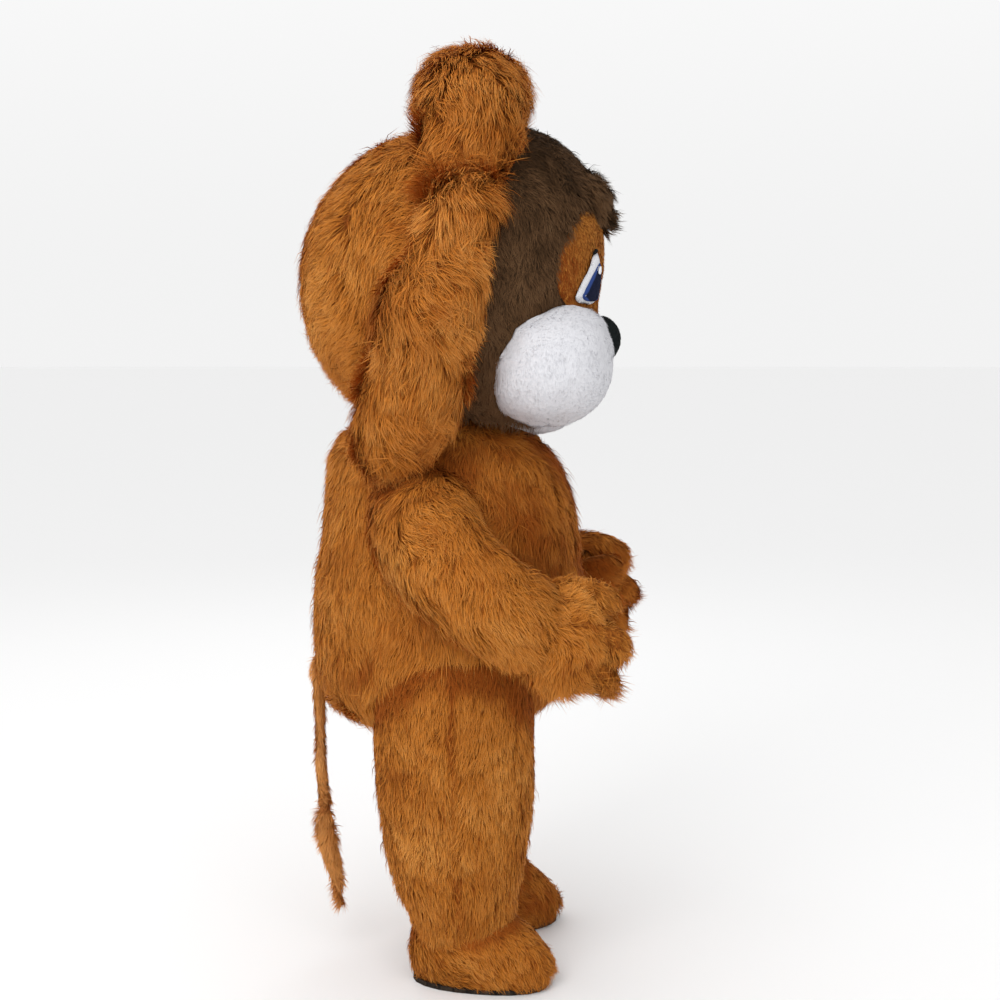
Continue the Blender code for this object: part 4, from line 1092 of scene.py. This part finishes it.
# Muzzle, lower jaw and nose: stuffed pads of short plush, two white ones and a black one, sewn to the
# front of the face. The muzzle has two cheeks that meet in the middle.
white_pile = pile_material(
    "white plush",
    (0.64, 0.64, 0.67),
    (0.60, 0.60, 0.64),
    (0.70, 0.70, 0.73),
    (0.73, 0.73, 0.75),
    (0.75, 0.75, 0.77),
    0.05,
    0.85,
)
white_backing = backing_material("white plush backing", (0.64, 0.64, 0.67), (0.71, 0.71, 0.74), 420.0, 0.06)
black_pile = pile_material(
    "black plush",
    (0.005, 0.006, 0.006),
    (0.007, 0.009, 0.009),
    (0.012, 0.016, 0.016),
    (0.018, 0.024, 0.023),
    (0.026, 0.034, 0.032),
    0.3,
)
black_backing = backing_material(
    "black plush backing", (0.006, 0.008, 0.008), (0.014, 0.018, 0.018), 420.0, 0.15
)
for node, slot, coat, under, count, length, number in (
    ("muzzle", "white_plush", white_pile, white_backing, (0, 15000), (0.007, 0.012), 91),
    ("lower_jaw", "white_plush", white_pile, white_backing, (0, 4000), (0.007, 0.012), 92),
    ("nose", "black_plush", black_pile, black_backing, (0, 4000), (0.005, 0.009), 93),
):
    form = refined(node_form(node), 2)
    core = on_suit(stuffed(node + "_pad", form, 0.0015, under), slot, node)
    on_suit(
        pile(
            node + "_pile",
            form,
            0.002,
            count,
            coat,
            length,
            brushed_cheek,
            number,
            lock=0.012,
            width=0.0014,
            droop=0.0,
            lift=0.45,
            pull=0.05,
            wild=0.0,
            hollow=0.2,
        ),
        slot,
    )


# Eyes: felt pads stitched on one over the other: a pointed white, a dark iris with a blue edge, a small
# white glint and a short black lash beside the tip.
IRIS_PLACE = (0.146, 0.302)
IRIS_HALF_WIDTH = 0.032
IRIS_RISE = 0.066
IRIS_LEAN = 0.014
FELTS = {
    "white": backing_material("white felt", (0.60, 0.60, 0.63), (0.76, 0.76, 0.78), 700.0, 0.25),
    "iris": backing_material("navy felt", (0.006, 0.008, 0.020), (0.012, 0.016, 0.045), 700.0, 0.25),
    "glint": backing_material("glint felt", (0.75, 0.75, 0.78), (0.85, 0.85, 0.87), 700.0, 0.25),
    "lash": backing_material("lash felt", (0.005, 0.005, 0.005), (0.012, 0.012, 0.012), 700.0, 0.25),
}


def sum_node(tree, operation, first, second=0.0, third=0.0):
    """Adds a sum on values or other nodes' results and gives its own."""
    node = tree.nodes.new("ShaderNodeMath")
    node.operation = operation
    for socket, value in zip(node.inputs, (first, second, third)):
        if isinstance(value, bpy.types.NodeSocket):
            tree.links.new(value, socket)
        else:
            socket.default_value = value
    return node.outputs[0]


tree = FELTS["iris"].node_tree
spot_node = tree.nodes.new("ShaderNodeTexCoord")
spot_parts = tree.nodes.new("ShaderNodeSeparateXYZ")
tree.links.new(spot_node.outputs["Object"], spot_parts.inputs[0])
height = sum_node(tree, "MULTIPLY_ADD", spot_parts.outputs[2], 1.0 / IRIS_RISE, -IRIS_PLACE[1] / IRIS_RISE)
above = sum_node(tree, "MAXIMUM", height, 0.0)
below = sum_node(tree, "MAXIMUM", sum_node(tree, "MULTIPLY", height, -4.0), 0.0)
outward = sum_node(tree, "SUBTRACT", sum_node(tree, "ABSOLUTE", spot_parts.outputs[1]), IRIS_PLACE[0])
leaning = sum_node(tree, "MULTIPLY_ADD", above, IRIS_LEAN, outward)
aside = sum_node(tree, "MULTIPLY", sum_node(tree, "ABSOLUTE", leaning), 1.0 / IRIS_HALF_WIDTH)
far_out = sum_node(tree, "ADD", sum_node(tree, "POWER", aside, 1.33), sum_node(tree, "POWER", above, 1.33))
far_out = sum_node(tree, "ADD", far_out, sum_node(tree, "POWER", below, 2.0))
blue_share = span_node(tree, far_out, 0.74, 0.90)
shader = tree.nodes["Principled BSDF"]
plain = shader.inputs["Base Color"].links[0].from_socket
BLUE_EDGE = (0.03, 0.06, 0.21, 1.0)
felt_colour = blend_node(tree, "MIX", blue_share, plain, BLUE_EDGE)
tree.links.new(felt_colour, shader.inputs["Base Color"])
for letter in ("right", "left"):
    for part, slot in (
        ("white", "white_plush"),
        ("iris", "navy_felt"),
        ("glint", "white_plush"),
        ("lash", "black_plush"),
    ):
        node = "eye_" + part + "_" + letter
        piece = on_suit(stuffed(node + "_felt", refined(node_form(node)), 0.0, FELTS[part]), slot, node)


# Mane: three stuffed rolls of the longest fur, over the crown and down each side to the shoulder, sewn
# to the hood in front of its seam. They are lumpy, with deep creases, and the pile is tangled.
MANE_DEPTH = 0.016
mane_pile = pile_material(
    "mane pile",
    (0.18, 0.040, 0.005),
    (0.33, 0.076, 0.008),
    (0.57, 0.184, 0.024),
    (0.75, 0.295, 0.055),
    (0.86, 0.460, 0.145),
    0.55,
)


def brushed_round(points, normals):
    """Brushes the pile off the crown to both sides, and down its front and back flanks."""
    way = np.zeros_like(points)
    way[:, 0] = -0.30 + 0.55 * np.clip((points[:, 0] - 0.05) / 0.08, -1.0, 1.0)
    way[:, 1] = np.clip(points[:, 1] / 0.25, -1.0, 1.0)
    way[:, 2] = -0.7
    return way


for node, flow, others, number in (
    ("mane_crown", brushed_round, ("mane_right", "mane_left"), 101),
    ("mane_right", brushed_down, ("mane_crown",), 102),
    ("mane_left", brushed_down, ("mane_crown",), 103),
):
    form = refined(node_form(node))
    core = on_suit(stuffed(node + "_roll", form, MANE_DEPTH, ginger_backing), "mane_fur", node)
    on_suit(
        pile(
            node + "_pile",
            form,
            MANE_DEPTH,
            (10200, 14500),
            mane_pile,
            (0.044, 0.074),
            flow,
            number,
            # Over the other rolls the pile is longer and painted lighter: painted light on the roll's edge.
            over=((others, 0.040, 0.50, 0.06),),
            hollow=0.32,
            lock=0.026,
            swirl=0.70,
            lift=0.56,
            pull=0.42,
            wild=0.09,
        ),
        "mane_fur",
    )

# Floor and light: a plain pale floor in a white room, which is dimmer ahead of the lion, and large soft
# lamps on both sides and behind.
floor_mesh = bpy.data.meshes.new("floor")
FLOOR_REACH = 30.0
floor_corners = [(x * FLOOR_REACH, y * FLOOR_REACH, FLOOR) for x, y in ((-1, -1), (1, -1), (1, 1), (-1, 1))]
floor_mesh.from_pydata(floor_corners, [], [(0, 1, 2, 3)])
floor = bpy.data.objects.new("floor", floor_mesh)
bpy.context.scene.collection.objects.link(floor)
paper = bpy.data.materials.new("paper floor")
paper.use_nodes = True
paper_shader = paper.node_tree.nodes["Principled BSDF"]
paper_shader.inputs["Base Color"].default_value = (0.95, 0.95, 0.95, 1.0)
paper_shader.inputs["Roughness"].default_value = 0.9
floor_mesh.materials.append(paper)

bpy.context.scene.view_settings.view_transform = "Standard"
world = bpy.context.scene.world or bpy.data.worlds.new("studio")
bpy.context.scene.world = world
world.use_nodes = True
walls = world.node_tree
around = walls.nodes.new("ShaderNodeTexCoord")
compass = walls.nodes.new("ShaderNodeSeparateXYZ")
walls.links.new(around.outputs["Generated"], compass.inputs[0])
SIDE_STRENGTH = 0.97
AHEAD_STRENGTH = 0.45
LOW_SHARE = 0.92
ahead = span_node(walls, compass.outputs[0], 0.35, 0.95, SIDE_STRENGTH, AHEAD_STRENGTH)
rising = span_node(walls, compass.outputs[2], 0.0, 0.30, LOW_SHARE, 1.0)
strength = walls.nodes.new("ShaderNodeMath")
strength.operation = "MULTIPLY"
walls.links.new(ahead, strength.inputs[0])
walls.links.new(rising, strength.inputs[1])
walls.links.new(strength.outputs[0], walls.nodes["Background"].inputs["Strength"])
walls.nodes["Background"].inputs["Color"].default_value = (1.0, 1.0, 1.0, 1.0)
LAMPS = (
    ("key", (-1.5, -3.2, 2.3), 2.4, 64.0),
    ("fill", (1.6, -3.2, 0.8), 2.4, 10.0),
    ("back", (-0.4, 3.0, 2.2), 2.6, 16.0),
)
for name, place, size, power in LAMPS:
    lamp = bpy.data.lights.new(name, "AREA")
    lamp.size = size
    lamp.energy = power
    holder = bpy.data.objects.new(name, lamp)
    holder.location = place
    aim = Vector((0.0, 0.0, -0.2)) - Vector(place)
    holder.rotation_euler = aim.to_track_quat("-Z", "Y").to_euler()
    bpy.context.scene.collection.objects.link(holder)
